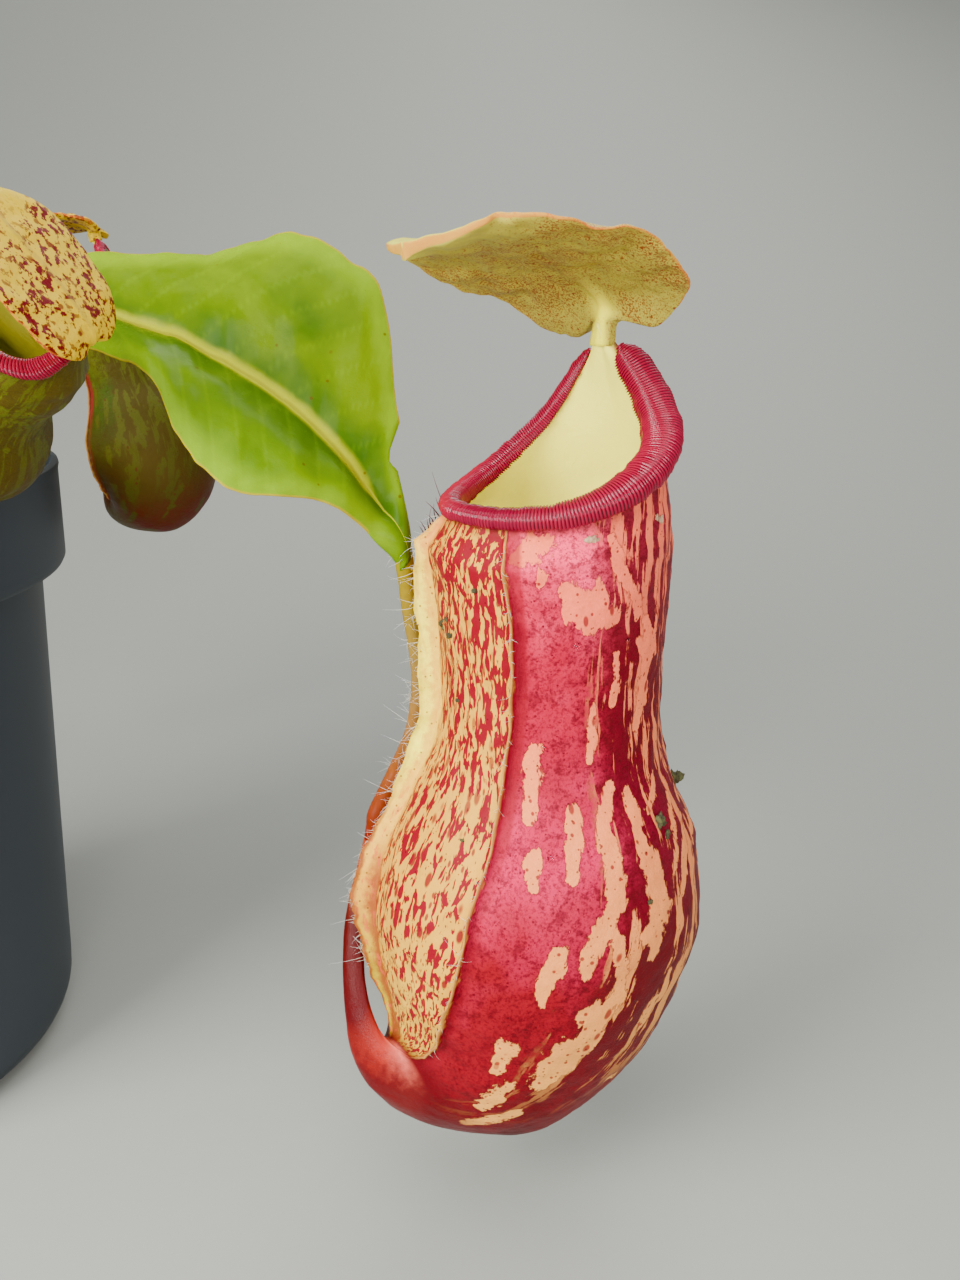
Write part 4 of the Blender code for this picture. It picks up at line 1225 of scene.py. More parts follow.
# Pale blotches of the large pitcher, each a stroke through places of station, angle and half width
BLOTCHES = (
    ((14.3, 35, 0.8), (14.5, 40, 1.5), (14.7, 46, 1.0)),
    ((14.2, 45, 0.3), (13.9, 46, 0.6), (13.7, 45, 0.3)),
    ((13.6, 56, 1.0), (13.4, 66, 2.2), (13.2, 74, 1.4)),
    ((13.3, 60, 1.4), (13.1, 67, 0.8)),
    ((14.4, 76, 0.5), (13.8, 82, 0.7), (13.4, 90, 0.7), (13.1, 94, 0.6)),
    ((13.0, 98, 0.6), (12.7, 106, 0.5), (12.5, 110, 0.4)),
    ((13.7, 106, 0.4), (13.2, 108, 0.4), (12.8, 108, 0.2)),
    ((12.7, 81, 0.5), (12.4, 82, 0.6), (12.1, 82, 0.5)),
    ((12.8, 94, 0.5), (12.5, 102, 1.0), (12.0, 102, 0.9), (11.7, 96, 0.5)),
    ((12.1, 70, 0.4), (11.7, 70, 0.6), (11.3, 68, 0.4)),
    ((11.5, 43, 0.6), (11.0, 40, 1.0), (10.4, 40, 0.6)),
    ((10.6, 58, 0.9), (10.2, 56, 1.1), (9.8, 56, 0.7)),
    ((10.0, 42, 0.6), (9.8, 42, 0.9), (9.6, 44, 0.6)),
    ((11.0, 78, 0.6), (10.7, 73, 1.0), (10.4, 69, 0.7)),
    ((10.3, 70, 1.0), (10.0, 72, 1.0), (9.6, 72, 1.1), (9.2, 70, 1.0)),
    ((9.3, 67, 0.9), (9.0, 67, 1.2), (8.7, 68, 0.7)),
    ((9.2, 75, 1.0), (8.8, 80, 1.1), (8.5, 84, 0.9)),
    ((8.5, 83, 1.4), (8.3, 80, 1.7), (8.2, 74, 1.1)),
    ((8.0, 81, 1.5), (7.6, 77, 2.4), (7.2, 77, 2.2), (6.8, 80, 1.2)),
    ((10.0, 88, 1.4), (9.6, 90, 1.9), (9.2, 90, 1.6), (9.0, 90, 0.9)),
    ((10.9, 85, 0.5), (10.6, 86, 0.9), (10.2, 84, 0.9), (10.0, 88, 1.0)),
    ((11.0, 107, 0.4), (10.8, 102, 0.5), (10.6, 94, 0.4)),
    ((10.7, 114, 0.4), (10.4, 108, 0.8), (10.0, 104, 0.6), (9.8, 100, 0.4)),
    ((10.4, 118, 0.4), (10.1, 112, 0.7), (9.8, 109, 0.7), (9.6, 106, 0.4)),
    ((8.9, 56, 1.0), (8.7, 56, 1.4), (8.5, 57, 0.9)),
    ((8.5, 56, 0.7), (8.2, 58, 0.6)),
    ((7.2, 56, 0.9), (6.9, 56, 1.1), (6.5, 58, 0.9)),
    ((6.4, 68, 0.9), (6.0, 69, 1.3), (5.5, 76, 0.9)),
    ((4.9, 101, 0.7), (5.4, 92, 0.8), (6.0, 88, 0.7)),
    ((8.5, 102, 0.9), (8.3, 102, 1.3), (8.2, 102, 0.9)),
    ((8.8, 104, 0.5), (8.6, 106, 0.9), (8.5, 107, 0.7)),
)


@dataclass(frozen=True)
class Cup:
    """A pitcher's hollow cup, with its tail and the two wings down its front."""

    number: int
    stand: Stand
    skin: CupSkin
    slot: Slot
    rows: int = 190
    inner_rows: int = 90
    panel: int = 40
    back: int = 150
    near_angle: tuple = (22, 22, 22, 22, 22, 24, 27, 29, 29, 27, 27.5, 28.5, 32, 32, 30.5, 26)
    far_angle: tuple = (22, 22, 22, 22, 22, 24, 27, 29, 30, 30, 31, 32, 34, 34, 33, 32)
    near_stations: tuple = (3, 4, 5, 6, 7, 8, 9, 10, 11, 12, 13, 14, 15)
    near_wing: tuple = (0, 0.2, 0.8, 1.4, 1.6, 1.5, 1.4, 1.3, 1.2, 1.2, 1.3, 1.2, 0.2)
    far_stations: tuple = (3, 4, 5, 6, 6.5, 7, 7.5, 8, 8.5, 9, 9.5, 10, 10.5, 11, 12, 13, 14, 14.6, 15)
    far_wing: tuple = (
        0, 0.1, 0.5, 1.0, 2.1, 2.2, 2.5, 3.7, 3.9, 3.0, 2.4, 2.6, 2.8, 2.7, 2.9, 2.6, 1.9, 1.3, 0.3,
    )
    wing_root: float = 0.65
    blotch_swell: float = 1.3
    chance_blotches: int = 90
    tuck: float = 0.5
    inner_tuck: float = 0.2
    map_radius: float = 17.0
    map_step: float = 8.0
    flank: tuple = (
        (0.06, 1), (0.17, 0.92), (0.24, 0.76), (0.3, 0.55), (0.38, 0.34), (0.5, 0.16), (0.72, 0.05),
        (1, 0),
    )
    near_hairs: tuple = (5.5, 14.6)
    far_hairs: tuple = (6.8, 14.8)
    short_hair: tuple = (0.4, 1.3)
    long_hair: tuple = (1.4, 2.8)
    short_share: float = 0.88
    bristle_stations: tuple = (14.9, 14.3)
    bristle_lengths: tuple = (4.4, 3.8, 2.6, 2.0, 1.6, 1.9, 1.2, 1.5, 1.1)

    @property
    def flap(self) -> list:
        """How far each of a wing's columns lies from its middle, and its share of the height."""
        return [(-across, rise) for across, rise in self.flank[::-1]] + list(self.flank)

    @property
    def crest(self) -> list:
        """The numbers of the far wing's highest columns."""
        return [i for i, (_, rise) in enumerate(self.flap) if rise == 1]

    def columns(self, t: float) -> tuple[Array, Array, Array]:
        """Angles round the cup at a station.

        Args:
            t: The station.

        Returns:
            The angles, each point's share of its wing's height, and the angle of its side's wing.
        """
        far, near = (float(np.interp(t, range(len(a)), a)) for a in (self.far_angle, self.near_angle))
        radius = max(smooth(FORM.stations, min(t, FORM.last - 1))[0][4], 1.5)
        root = min(math.degrees(self.wing_root / radius), min(near, far) * 0.6)
        across, rise = np.array(self.flap).T
        front = np.linspace(-far + root, near - root, self.panel + 2)[1:-1]
        rear = np.linspace(near + root, 360 - far - root, self.back + 2)[1:-1]
        angle = np.concatenate([-far + across * root, front, near + across * root, rear])
        share = np.concatenate([rise, 0 * front, rise, 0 * rear])
        return angle, share, np.where(from_front(angle) > 0, near, far)

    def ring(self, t: float, inset: float = 0.0) -> tuple[Array, dict]:
        """One ring of the cup with its marks.

        Args:
            t: The station.
            inset: Depth below the outer face, where no wing stands.

        Returns:
            The places on the pitcher, and the marks.
        """
        angle, share, half = self.columns(t)
        ring = FORM.wall_point(t, angle, inset, self.tuck if inset == 0 else self.inner_tuck)
        turned = from_front(angle)
        rad = np.radians(turned)
        circle = np.column_stack([np.cos(rad), np.sin(rad)])
        away = ring - ring.mean(axis=0)
        reach = np.linalg.norm(away[:, :2], axis=1)
        marks = {
            "local": ring.copy(),
            "panel": np.clip(np.radians(half - np.abs(turned)) * np.maximum(reach, 2), -30, 12),
            "side": np.sin(rad),
            "turn": np.abs(turned),
            "meridian": np.column_stack([self.map_radius * circle, 0 * rad + self.map_step * t]),
            "flap": share if inset == 0 else 0 * share,
            "inner": np.full(len(angle), float(inset > 0)),
            "station": np.full(len(angle), t),
        }
        if inset > 0:
            return ring, marks
        near = turned > 0
        spots = [[t * 3.0, 1.0], [t * 3.0, 9.0], [t * 5, 4.0], [t * 5, 20.0]]
        crumple = unevenness(spots, 6.0, Seed.CRUMPLE, 4)
        frill = unevenness([[t * 9.0, 3.0], [t * 9.0, 30.0], [t * 12.0, 60.0]], 6.0, Seed.FRILL)
        near_high = np.interp(t, self.near_stations, self.near_wing)
        near_high *= 1 + 0.12 * crumple[0] + 0.1 * frill[2]
        far_high = np.interp(t, self.far_stations, self.far_wing)
        far_high *= 1 + 0.1 * crumple[1] + 0.09 * frill[0]
        away[:, 2] *= 0.3
        high = np.where(near, near_high, far_high) * share
        across = unit(np.roll(ring, -1, axis=0) - np.roll(ring, 1, axis=0))
        far_sway = (0.6 * crumple[3] + 0.42 * frill[1]) * min(far_high / 2, 1)
        sway = np.where(near, 0.22 * crumple[2] + 0.1 * frill[2], far_sway) * share**1.6
        ring = ring + unit(away) * high[:, None] + across * sway[:, None]
        lumps = 0.16 * unevenness(ring, 9.0, Seed.CUP_LUMPS)
        lumps = lumps + 0.07 * unevenness(ring, 2.4, Seed.CUP_GRAIN, 2)
        ring += unit(away) * (lumps * (1 - share) * min(t / 6, 1))[:, None]
        marks["local"] = ring.copy()
        marks["meridian"][:, :2] += high[:, None] * circle
        return ring, marks

    def blotch_field(self, places: Array) -> Array:
        """How far inside a pale blotch each place lies.

        Args:
            places: Places on the pitcher.

        Returns:
            1 at a blotch's middle, 0 at its edge and less outside.
        """
        rng = np.random.default_rng(Seed.BLOTCHES + self.number)
        strokes = list(BLOTCHES)
        for _ in range(self.chance_blotches):
            t, angle, wide = rng.uniform(5.2, 14.4), rng.uniform(112, 322), rng.uniform(0.4, 1.4)
            end = (t + rng.uniform(-0.5, 0.5), angle + rng.uniform(-8, 8), wide * 0.7)
            strokes.append(((t, angle, wide), end))
        field = np.full(places.shape[:-1], -1.5)
        for stroke in strokes:
            knots = [(*FORM.wall_point(t, np.array([angle]))[0], wide) for t, angle, wide in stroke]
            for start, end in zip(knots, knots[1:]):
                a, b = np.array(start), np.array(end)
                run = (b - a)[:3]
                s = np.clip((places - a[:3]) @ run / max(run @ run, 1e-6), 0, 1)
                gap = np.linalg.norm(places - a[:3] - s[..., None] * run, axis=-1)
                field = np.maximum(field, 1 - gap / (self.blotch_swell * (a[3] + (b[3] - a[3]) * s)))
        return field

    def build(self) -> bpy.types.Object:
        """The cup as a piece."""
        wall = FORM.wall / self.stand.width
        levels = [(t, 0.0) for t in np.linspace(0, FORM.last, self.rows)]
        levels += [(t, wall) for t in np.linspace(FORM.last, FORM.cavity_start, self.inner_rows)]
        rings, marks = zip(*(self.ring(t, inset) for t, inset in levels))
        kept = {name: np.array([m[name] for m in marks]) for name in marks[0]}
        kept["blotch"] = self.blotch_field(kept["local"]) - 3 * kept["inner"]
        shell = closed_loft(self.stand.world(rings), kept)
        name = f"pitcher_{self.number}_cup"
        return shell.piece(f"{name}_skin", self.skin.material(), self.slot, name)

    def fringe(self, hair: Material, count: int) -> bpy.types.Object:
        """Grow hairs along both wings' crests.

        Args:
            hair: Their finish.
            count: How many there are.

        Returns:
            The piece.
        """
        rng = np.random.default_rng(Seed.WING_HAIRS + self.number)
        world, roots, courses, lengths = self.stand.world, [], [], []
        near_crest = [len(self.flap) + self.panel + i for i in self.crest]
        for k in range(count):
            far = k % 3 > 0
            ring, _ = self.ring(rng.uniform(*(self.far_hairs if far else self.near_hairs)))
            place = ring[rng.choice(self.crest if far else near_crest)]
            away = unit((place - ring.mean(axis=0)) * [1, 1, 0.3])
            short = rng.uniform() < self.short_share
            length = rng.uniform(*(self.short_hair if short else self.long_hair))
            roots.append(world(place - away * 0.1))
            courses.append(world(place + away + rng.normal(size=3) * 0.45) - world(place))
            lengths.append(length * (1.0 if far else 0.7) * self.stand.width)
        grown = HairFringe(thickness=0.036 * max(self.stand.width, 0.6), seed=self.number)
        shell = grown.grow(roots, courses, lengths)
        return shell.piece(f"pitcher_{self.number}_wing_hairs", hair, self.slot)

    def bristles(self, hair: Material) -> bpy.types.Object:
        """Grow the few long dark hairs at the top of the far wing.

        Args:
            hair: Their finish.

        Returns:
            The piece.
        """
        rng = np.random.default_rng(Seed.BRISTLES)
        world, roots, courses = self.stand.world, [], []
        for t in np.linspace(*self.bristle_stations, len(self.bristle_lengths)):
            ring, _ = self.ring(t)
            place = ring[self.crest[0]]
            away = unit((place - ring.mean(axis=0)) * [1, 1, 0.2])
            course = away * 0.45 + np.array([0, 0, 1.0]) + rng.normal(size=3) * 0.22
            roots.append(world(place - away * 0.1))
            courses.append(world(place + course) - world(place))
        grown = HairFringe(thickness=0.12, curl=0.25, seed=Seed.BRISTLE_BENDS)
        shell = grown.grow(roots, courses, self.bristle_lengths)
        return shell.piece(f"pitcher_{self.number}_bristles", hair, self.slot)


@dataclass(frozen=True)
class Litter:
    """Water drops, specks of moss and dry husks that lie on the large pitcher.

    Each one is a station, an angle and a size.
    """

    drops: tuple = (
        (12.85, 60.5, 0.5), (11.5, 46.5, 0.36), (10.02, 48.5, 0.55), (12.82, 87.0, 0.3),
        (8.5, 90.5, 0.25), (13.3, 95.0, 0.22), (9.2, 58.0, 0.2),
    )
    crumbs: tuple = (
        (12.84, -14.0, 0.55), (12.76, -5.5, 0.45), (12.95, -9.0, 0.35), (10.46, 98.5, 0.8),
        (10.3, 101.0, 0.5), (10.7, 138.0, 0.8), (9.6, 86.5, 0.3), (11.9, -3.0, 0.25),
        (13.6, 14.0, 0.25), (9.9, 15.0, 0.22),
    )
    husks: tuple = ((14.55, 66.0, 0.6), (14.5, 68.0, 0.45), (14.2, 108.0, 0.5), (14.3, 104.0, 0.35))

    def bead(self, spot: tuple, flat: float, rough: float) -> Surface:
        """One drop or crumb.

        Args:
            spot: Its station, angle and size.
            flat: Its height beside its width.
            rough: How uneven it is beside its size.

        Returns:
            Its closed surface.
        """
        station, angle, size = spot
        ring = FORM.wall_point(station, np.array([angle, 0.0, 90.0, 180.0, 270.0]))
        out = unit(ring[0] - ring[1:].mean(axis=0))
        side = unit(np.cross(out, (0.0, 0.0, 1.0)))
        rise = np.radians(np.linspace(-86, 86, 11))[:, None, None]
        turn = np.radians(np.arange(0, 360, 20))[None, :, None]
        around = side * np.cos(turn) + np.cross(side, out) * np.sin(turn)
        shape = out * flat * np.sin(rise) + around * np.cos(rise)
        shape = shape * (1 + rough * unevenness(shape[..., :2] + angle, 0.9, Seed.LITTER))[..., None]
        points = ring[0] + out * 0.25 * size + size * shape
        marks = {"local": points, "chance": 0 * points[..., 0] + 0.5}
        return closed_loft(MAIN.world(points), marks)

    def build(self) -> None:
        """Make the drops, the crumbs and the husks."""
        green = ((0.3, (26, 22, 8)), (0.5, (70, 66, 34)), (0.75, (112, 120, 60)))
        straw = ((0.3, (150, 104, 70)), (0.7, (226, 190, 150)))
        lots = (
            ("dew_drops", self.drops, 0.75, 0.0, Dew()),
            ("moss_specks", self.crumbs, 0.8, 0.5, CrumbMix("moss_speck_finish", green)),
            ("husks", self.husks, 0.5, 0.4, CrumbMix("husk_finish", straw, roughness=0.7)),
        )
        for name, spots, flat, rough, finish in lots:
            shell = Surface.gather([self.bead(spot, flat, rough) for spot in spots])
            shell.piece(f"pitcher_1_{name}", finish.material(), Slot.RED_PITCHER)


@dataclass(frozen=True)
class Peristome:
    """The ribbed roll round a pitcher's mouth, open at the neck, with small teeth inside."""

    number: int
    stand: Stand
    ribs: int = 226
    steps: int = 4
    sides: int = 30
    end_angle: float = 161.0
    rib_depth: float = 0.09
    swell_depth: float = 0.07
    tooth: float = 0.32
    tooth_width: float = 0.55
    section: tuple = (
        (1.02, -0.3), (1.06, 0.15), (0.86, 0.66), (0.4, 0.97), (-0.12, 1.02), (-0.6, 0.82),
        (-0.92, 0.38), (-1.05, -0.15), (-1.08, -0.62), (-0.9, -0.72), (-0.5, -0.78), (0.0, -0.86),
        (0.5, -0.86), (0.86, -0.68),
    )
    tooth_at: float = 8.0

    def build(self) -> bpy.types.Object:
        """The roll as a piece."""
        count = self.ribs * self.steps + 1
        dense = np.linspace(-self.end_angle, self.end_angle, 2000)
        length = run_of(FORM.rim_point(dense))
        angle = np.interp(np.linspace(0, length[-1], count), length, dense)
        middle, outward, upward = FORM.roll_frame(angle)
        knots = len(self.section)
        spot = np.arange(self.sides) * knots / self.sides
        section = smooth(np.vstack([self.section] * 3), knots + spot)
        toothed = np.exp(-(((spot - self.tooth_at) / self.tooth_width) ** 2))
        phase = np.arange(count) / self.steps
        wave = 1 - 2 * (0.5 - 0.5 * np.cos(2 * math.pi * phase)) ** 1.8
        swell = unevenness(np.stack([phase * 0.42, 0 * phase], -1), 2.6, Seed.ROLL)
        size = FORM.roll_share(angle)
        ends = np.minimum(np.arange(count), count - 1 - np.arange(count)) / (self.steps * 5)
        size = size * np.sqrt(np.clip(ends, 0.12, 1))
        depth = self.rib_depth * wave + self.swell_depth * swell
        wide = (FORM.roll_half_width * size + depth)[:, None] * section[:, 0]
        tall = (FORM.roll_half_height * size + depth)[:, None] * section[:, 1]
        tooth = self.tooth * np.clip(wave, 0, 1)[:, None] * toothed * size[:, None]
        wide, tall = wide - tooth * 0.75, tall - tooth * 0.6
        rings = middle[:, None] + wide[..., None] * outward[:, None]
        rings = rings + tall[..., None] * upward[:, None]
        level = np.ones(self.sides)
        marks = {
            "local": rings,
            "rib": wave[:, None] * level,
            "side": np.sin(np.radians(angle))[:, None] * level,
            "from_front": np.abs(angle)[:, None] * level,
            "outward": np.ones((count, 1)) * section[:, 0],
            "tooth": np.clip(wave, 0, 1)[:, None] * toothed**2,
        }
        shell = closed_loft(self.stand.world(rings), marks)
        name = f"pitcher_{self.number}_peristome"
        return shell.piece(f"{name}_roll", PeristomeSkin().material(), Slot.PERISTOME, name)


@dataclass(frozen=True)
class Lid:
    """The arched lid on its short neck, one half lifted and the other drooping."""

    number: int
    stand: Stand
    skin: LidSkin
    rows: int = 130
    columns: int = 81
    midrib: tuple = (
        (-7.5, 115.7), (-7.9, 117.0), (-7.8, 119.1), (-5.2, 121.5), (-0.4, 123.6), (5.6, 124.8),
        (11.6, 125.4), (17.2, 125.4), (22.0, 124.8),
    )
    half_width: tuple = (1.7, 2.1, 7.2, 12.8, 16.2, 17.2, 15.6, 10.6, 1.8)
    back_lobe: tuple = (0.0, 0.4, 2.6, 3.6, 2.6, 1.4, 0.6, 0.0, 0.0)
    left_lift: tuple = (0.0, 0.0, -2.6, -0.6, 0.5, 1.5, 2.7, 2.1, 0.0)
    right_lift: tuple = (0.0, -0.4, -4.4, -5.6, -4.6, -3.1, -1.6, 0.3, 0.0)
    margin_dents: tuple = ((6.3, 0.35, 0.05), (6.95, 0.14, -0.1), (7.25, 0.16, 0.04), (4.1, 0.2, -0.025))
    thickness: float = 0.75
    sunk: float = 1.9

    def build(self) -> bpy.types.Object:
        """The lid as a piece, its neck sunk a little into the cup's back."""
        even = np.linspace(0, 1, self.rows)
        t = 8 * (1 - (1 - even) ** 1.15)
        midrib = smooth(self.midrib, t)
        midrib[:, 1] -= self.sunk * np.clip(1 - t / 0.8, 0, 1) ** 2
        tables = (self.half_width, self.back_lobe, self.left_lift, self.right_lift)
        half, lobe, left, right = (smooth(table, t)[:, 0] for table in tables)
        v = eased_steps(self.columns)
        opened = np.clip(half / max(self.half_width), 0, 1)[:, None]
        half = half * np.sqrt(np.clip((8.02 - t) / 0.5, 0, 1))
        tt, vv = np.meshgrid(t, v, indexing="ij")
        out = np.abs(vv)
        spots = np.stack([tt * 2.0 * np.sign(vv), 3 * np.sign(vv)], -1)
        frill = unevenness(spots, 2.6, Seed.LID_FRILL, 2)
        dent = sum(deep * np.exp(-(((tt - at) / wide) ** 2)) for at, wide, deep in self.margin_dents)
        reach = half[:, None] * vv * (1 + (0.01 * frill + np.where(vv > 0, dent, 0)) * out**4)
        back = midrib[:, None, 0] - lobe[:, None] * vv**2
        plan = np.stack([back, reach], -1)
        lift = midrib[:, None, 1] + np.where(vv > 0, left[:, None], right[:, None]) * out**1.5
        lift = lift + 0.7 * np.sin(tt * 2.6 + 2 * vv) * out**3 * opened
        lift = lift + (0.3 * unevenness(plan, 7.0, Seed.LID_SWELL) + 0.12 * frill * out**5) * opened
        sheet = np.stack([back, reach, lift], -1)
        net = np.abs(np.sin(reach * 1.1 + 0.5 * back + unevenness(plan, 5.0, Seed.LID_NET)))
        slope = unit(np.gradient(midrib, axis=0))
        normal = np.stack([-slope[:, 1], 0 * t, slope[:, 0]], -1)[:, None, :]
        rib = 1.3 * np.exp(-((reach / 0.7) ** 2)) * (0.3 + 0.7 * opened)
        edge = np.sqrt(np.clip(1.02 - out**10, 0, 1))
        thick = self.thickness / self.stand.height / 2 * (edge + 1.1 * (1 - opened))
        top = sheet + normal * (thick + 0.3 * rib * thick - 0.05 * net * opened)[..., None]
        bottom = sheet - normal * (thick + rib * thick + 0.05 * net * opened)[..., None]
        rings = np.concatenate([top, bottom[:, ::-1]], axis=1)
        rim = half[:, None] * (1 - out) + 3 * np.clip(1 - opened * 1.6, 0, 1) * (tt < 3)
        rim = np.minimum(rim, np.abs(midrib[-1, 0] - back) + 0.3)
        marks = {"share": tt / 8, "across": vv, "rim": rim}
        marks = {name: np.concatenate([value, value[:, ::-1]], axis=1) for name, value in marks.items()}
        marks["local"] = rings
        shell = closed_loft(self.stand.world(rings), marks)
        name = f"pitcher_{self.number}_lid"
        return shell.piece(f"{name}_blade", self.skin.material(), Slot.LID, name)


def tail_end(stand: Stand) -> tuple[Array, Array]:
    """Where a tendril meets a pitcher's tail.

    Args:
        stand: The pitcher's stand.

    Returns:
        The place just off the tail's end, and the way that the tail points there.
    """
    inner, left, outer, right = stand.world(FORM.wall_point(0.0, np.arange(0, 360, 90.0)))
    away = unit(np.cross(inner - outer, left - right))
    away = away * np.sign(away @ stand.axes()[2])
    return (inner + outer) / 2 + away * 0.3, away


def leaf_marks(like: Array, **given: Array) -> dict:
    """Marks of a leaf's skin, with plain values for those that aren't given.

    Args:
        like: Numbers in the rows and columns of the surface's rings.
        **given: Marks of the same rows and columns.

    Returns:
        All the marks that the leaf's finish reads.
    """
    plain = {"share": 1.0, "across": 0.0, "rim": 9.0, "from_midrib": 9.0, "nerve": 0.0, "tendril": 0.0}
    return {**{name: np.full(like.shape, value) for name, value in plain.items()}, **given}


@dataclass(frozen=True)
class Leaf:
    """A leaf blade that runs on as a tendril, with a sunk midrib, side nerves and a thin margin."""

    name: str
    ripple: float = 0.0
    waves: float = 5.0
    columns: int = 61
    tendril_rows: int = 90
    tendril_sides: int = 18
    thickness: float = 0.9
    keel: float = 0.9
    tendril_radius: float = 1.25
    seed: int = Seed.LEAF
    far_notch: tuple = ((0, 1), (0, 0))
    lumps: float = 0.2

    def blade(self, midrib: Array, far: Array, near: Array) -> Surface:
        """The blade between its stalk and its tip.

        Args:
            midrib: Places along the midrib.
            far: Reach from the midrib to the far edge at each of them.
            near: Reach to the near edge.

        Returns:
            The blade's surface with its marks.
        """
        rows = len(midrib)
        along = unit(np.gradient(midrib, axis=0))
        normal = unit(np.cross(along, far - near))
        s = np.linspace(0, 1, rows)
        run = run_of(midrib)
        v = eased_steps(self.columns)
        out = np.abs(v)
        rings, marks = [], []
        for k in range(rows):
            far_long, near_long = np.linalg.norm(far[k]), np.linalg.norm(near[k])
            spread = far_long + near_long
            flat = np.clip((spread - 6) / 10, 0, 1)
            reach = np.where(v[:, None] > 0, far[k] * v[:, None], -near[k] * v[:, None])
            distance = np.where(v > 0, far_long * v, near_long * v)
            frill = unevenness(np.stack([run[k] + 0 * v, 40 * np.sign(v)], -1), 14.0, self.seed)
            frill = 0.02 * frill + np.where(v > 0, np.interp(s[k], *self.far_notch), 0)
            reach = reach * (1 + frill * out**3 * flat)[:, None]
            arch = 0.05 * spread * np.sin(math.pi * out)
            wave = self.ripple * math.sin(2 * math.pi * self.waves * s[k])
            wave = wave * v**2 * math.sin(math.pi * s[k])
            spots = np.stack([run[k] + 0 * v, distance], -1)
            lift = self.lumps * flat * unevenness(spots, 11.0, self.seed + 1)
            nerve = np.abs(np.cos((run[k] - 0.75 * np.abs(distance)) * math.pi / 5.2)) ** 14
            groove = np.exp(-(distance**2))
            sheet = midrib[k] + reach + (arch + wave + lift)[:, None] * normal[k]
            edge = np.sqrt(np.clip(1.03 - out**12, 0, 1))
            half = self.thickness / 2 * (1 - 0.45 * flat * out) * edge
            upper = half - flat * (0.3 * groove + 0.05 * nerve * (1 - groove))
            lower = half + self.keel * groove + 0.07 * flat * nerve
            top = sheet + normal[k] * upper[:, None]
            bottom = sheet - normal[k] * lower[:, None]
            ring = np.vstack([top, bottom[::-1]])
            rounded = float(np.clip((10.0 - spread) / 6.5, 0, 1))
            turn = math.pi - (np.arange(2 * self.columns) + 0.5) * math.pi / self.columns
            side = unit(far[k] - near[k])
            radius = max(spread / 2, self.tendril_radius)
            if rounded == 1:
                radius = self.tendril_radius + 0.1 * spread
            circle = side * np.cos(turn)[:, None] * radius + normal[k] * np.sin(turn)[:, None] * radius
            rings.append(ring * (1 - rounded) + (midrib[k] + circle) * rounded)
            rim = np.abs(np.where(v > 0, far_long - distance, near_long + distance)) + 4 * rounded
            aside = distance + 3 * (1 - flat) * np.sign(v)
            mark = np.stack([0 * v + s[k], v, rim, aside, nerve * flat], -1)
            marks.append(np.vstack([mark, mark[::-1]]))
        rings, marks = np.array(rings), np.array(marks)
        names = ("share", "across", "rim", "from_midrib", "nerve")
        kept = {name: marks[..., i] for i, name in enumerate(names)}
        return closed_loft(rings, leaf_marks(marks[..., 0], local=rings, **kept))

    def tendril(self, route: Array, radii: Sequence) -> Surface:
        """The tendril from the blade's tip to the pitcher's tail.

        Args:
            route: Places that it runs through.
            radii: Its radius at equal steps.

        Returns:
            The tendril's surface with its marks.
        """
        path = along_route(route, self.tendril_rows)
        s = np.linspace(0, 1, self.tendril_rows)
        size = smooth(radii, s * (len(radii) - 1))[:, 0]
        size = size * (1 + 0.03 * unevenness(path, 4.0, Seed.TENDRIL))
        rings = tube(path, size, (0.3, 1.0, 0.2), self.tendril_sides)
        share = np.repeat(s[:, None], self.tendril_sides, axis=1)
        return closed_loft(rings, leaf_marks(share, local=rings, tendril=share * 0.97 + 0.03))

    def build(self, blade: tuple, route: Array, radii: Sequence, skin: Material) -> bpy.types.Object:
        """The whole leaf as a piece.

        Args:
            blade: Midrib places, far reaches and near reaches.
            route: The tendril's places.
            radii: The tendril's radius at equal steps.
            skin: The leaf's finish.

        Returns:
            The piece.
        """
        whole = Surface.gather([self.blade(*blade), self.tendril(route, radii)])
        return whole.piece(f"{self.name}_blade", skin, Slot.LEAF, self.name)

    def hairs(self, route: Array, count: int, hair: Material) -> bpy.types.Object:
        """Loose tufts of hair along the tendril.

        Args:
            route: The tendril's places.
            count: How many hairs grow on it.
            hair: Their finish.

        Returns:
            The piece.
        """
        rng = np.random.default_rng(self.seed)
        path = along_route(route, 200)[:170]
        tangent = unit(np.gradient(path, axis=0))
        tufts = np.sort(rng.choice(len(path), max(count // 4, 1)))
        roots, courses, lengths = [], [], []
        for tuft in tufts:
            course = unit(np.cross(tangent[tuft], rng.normal(size=3)))
            for _ in range(4):
                courses.append(unit(course + rng.normal(size=3) * 0.5))
                roots.append(path[tuft] + course * self.tendril_radius * 0.8)
                lengths.append(rng.uniform(0.5, 2.0))
        shell = HairFringe(thickness=0.034, seed=self.seed).grow(roots, courses, lengths)
        return shell.piece(f"{self.name}_tendril_hairs", hair, Slot.LEAF)


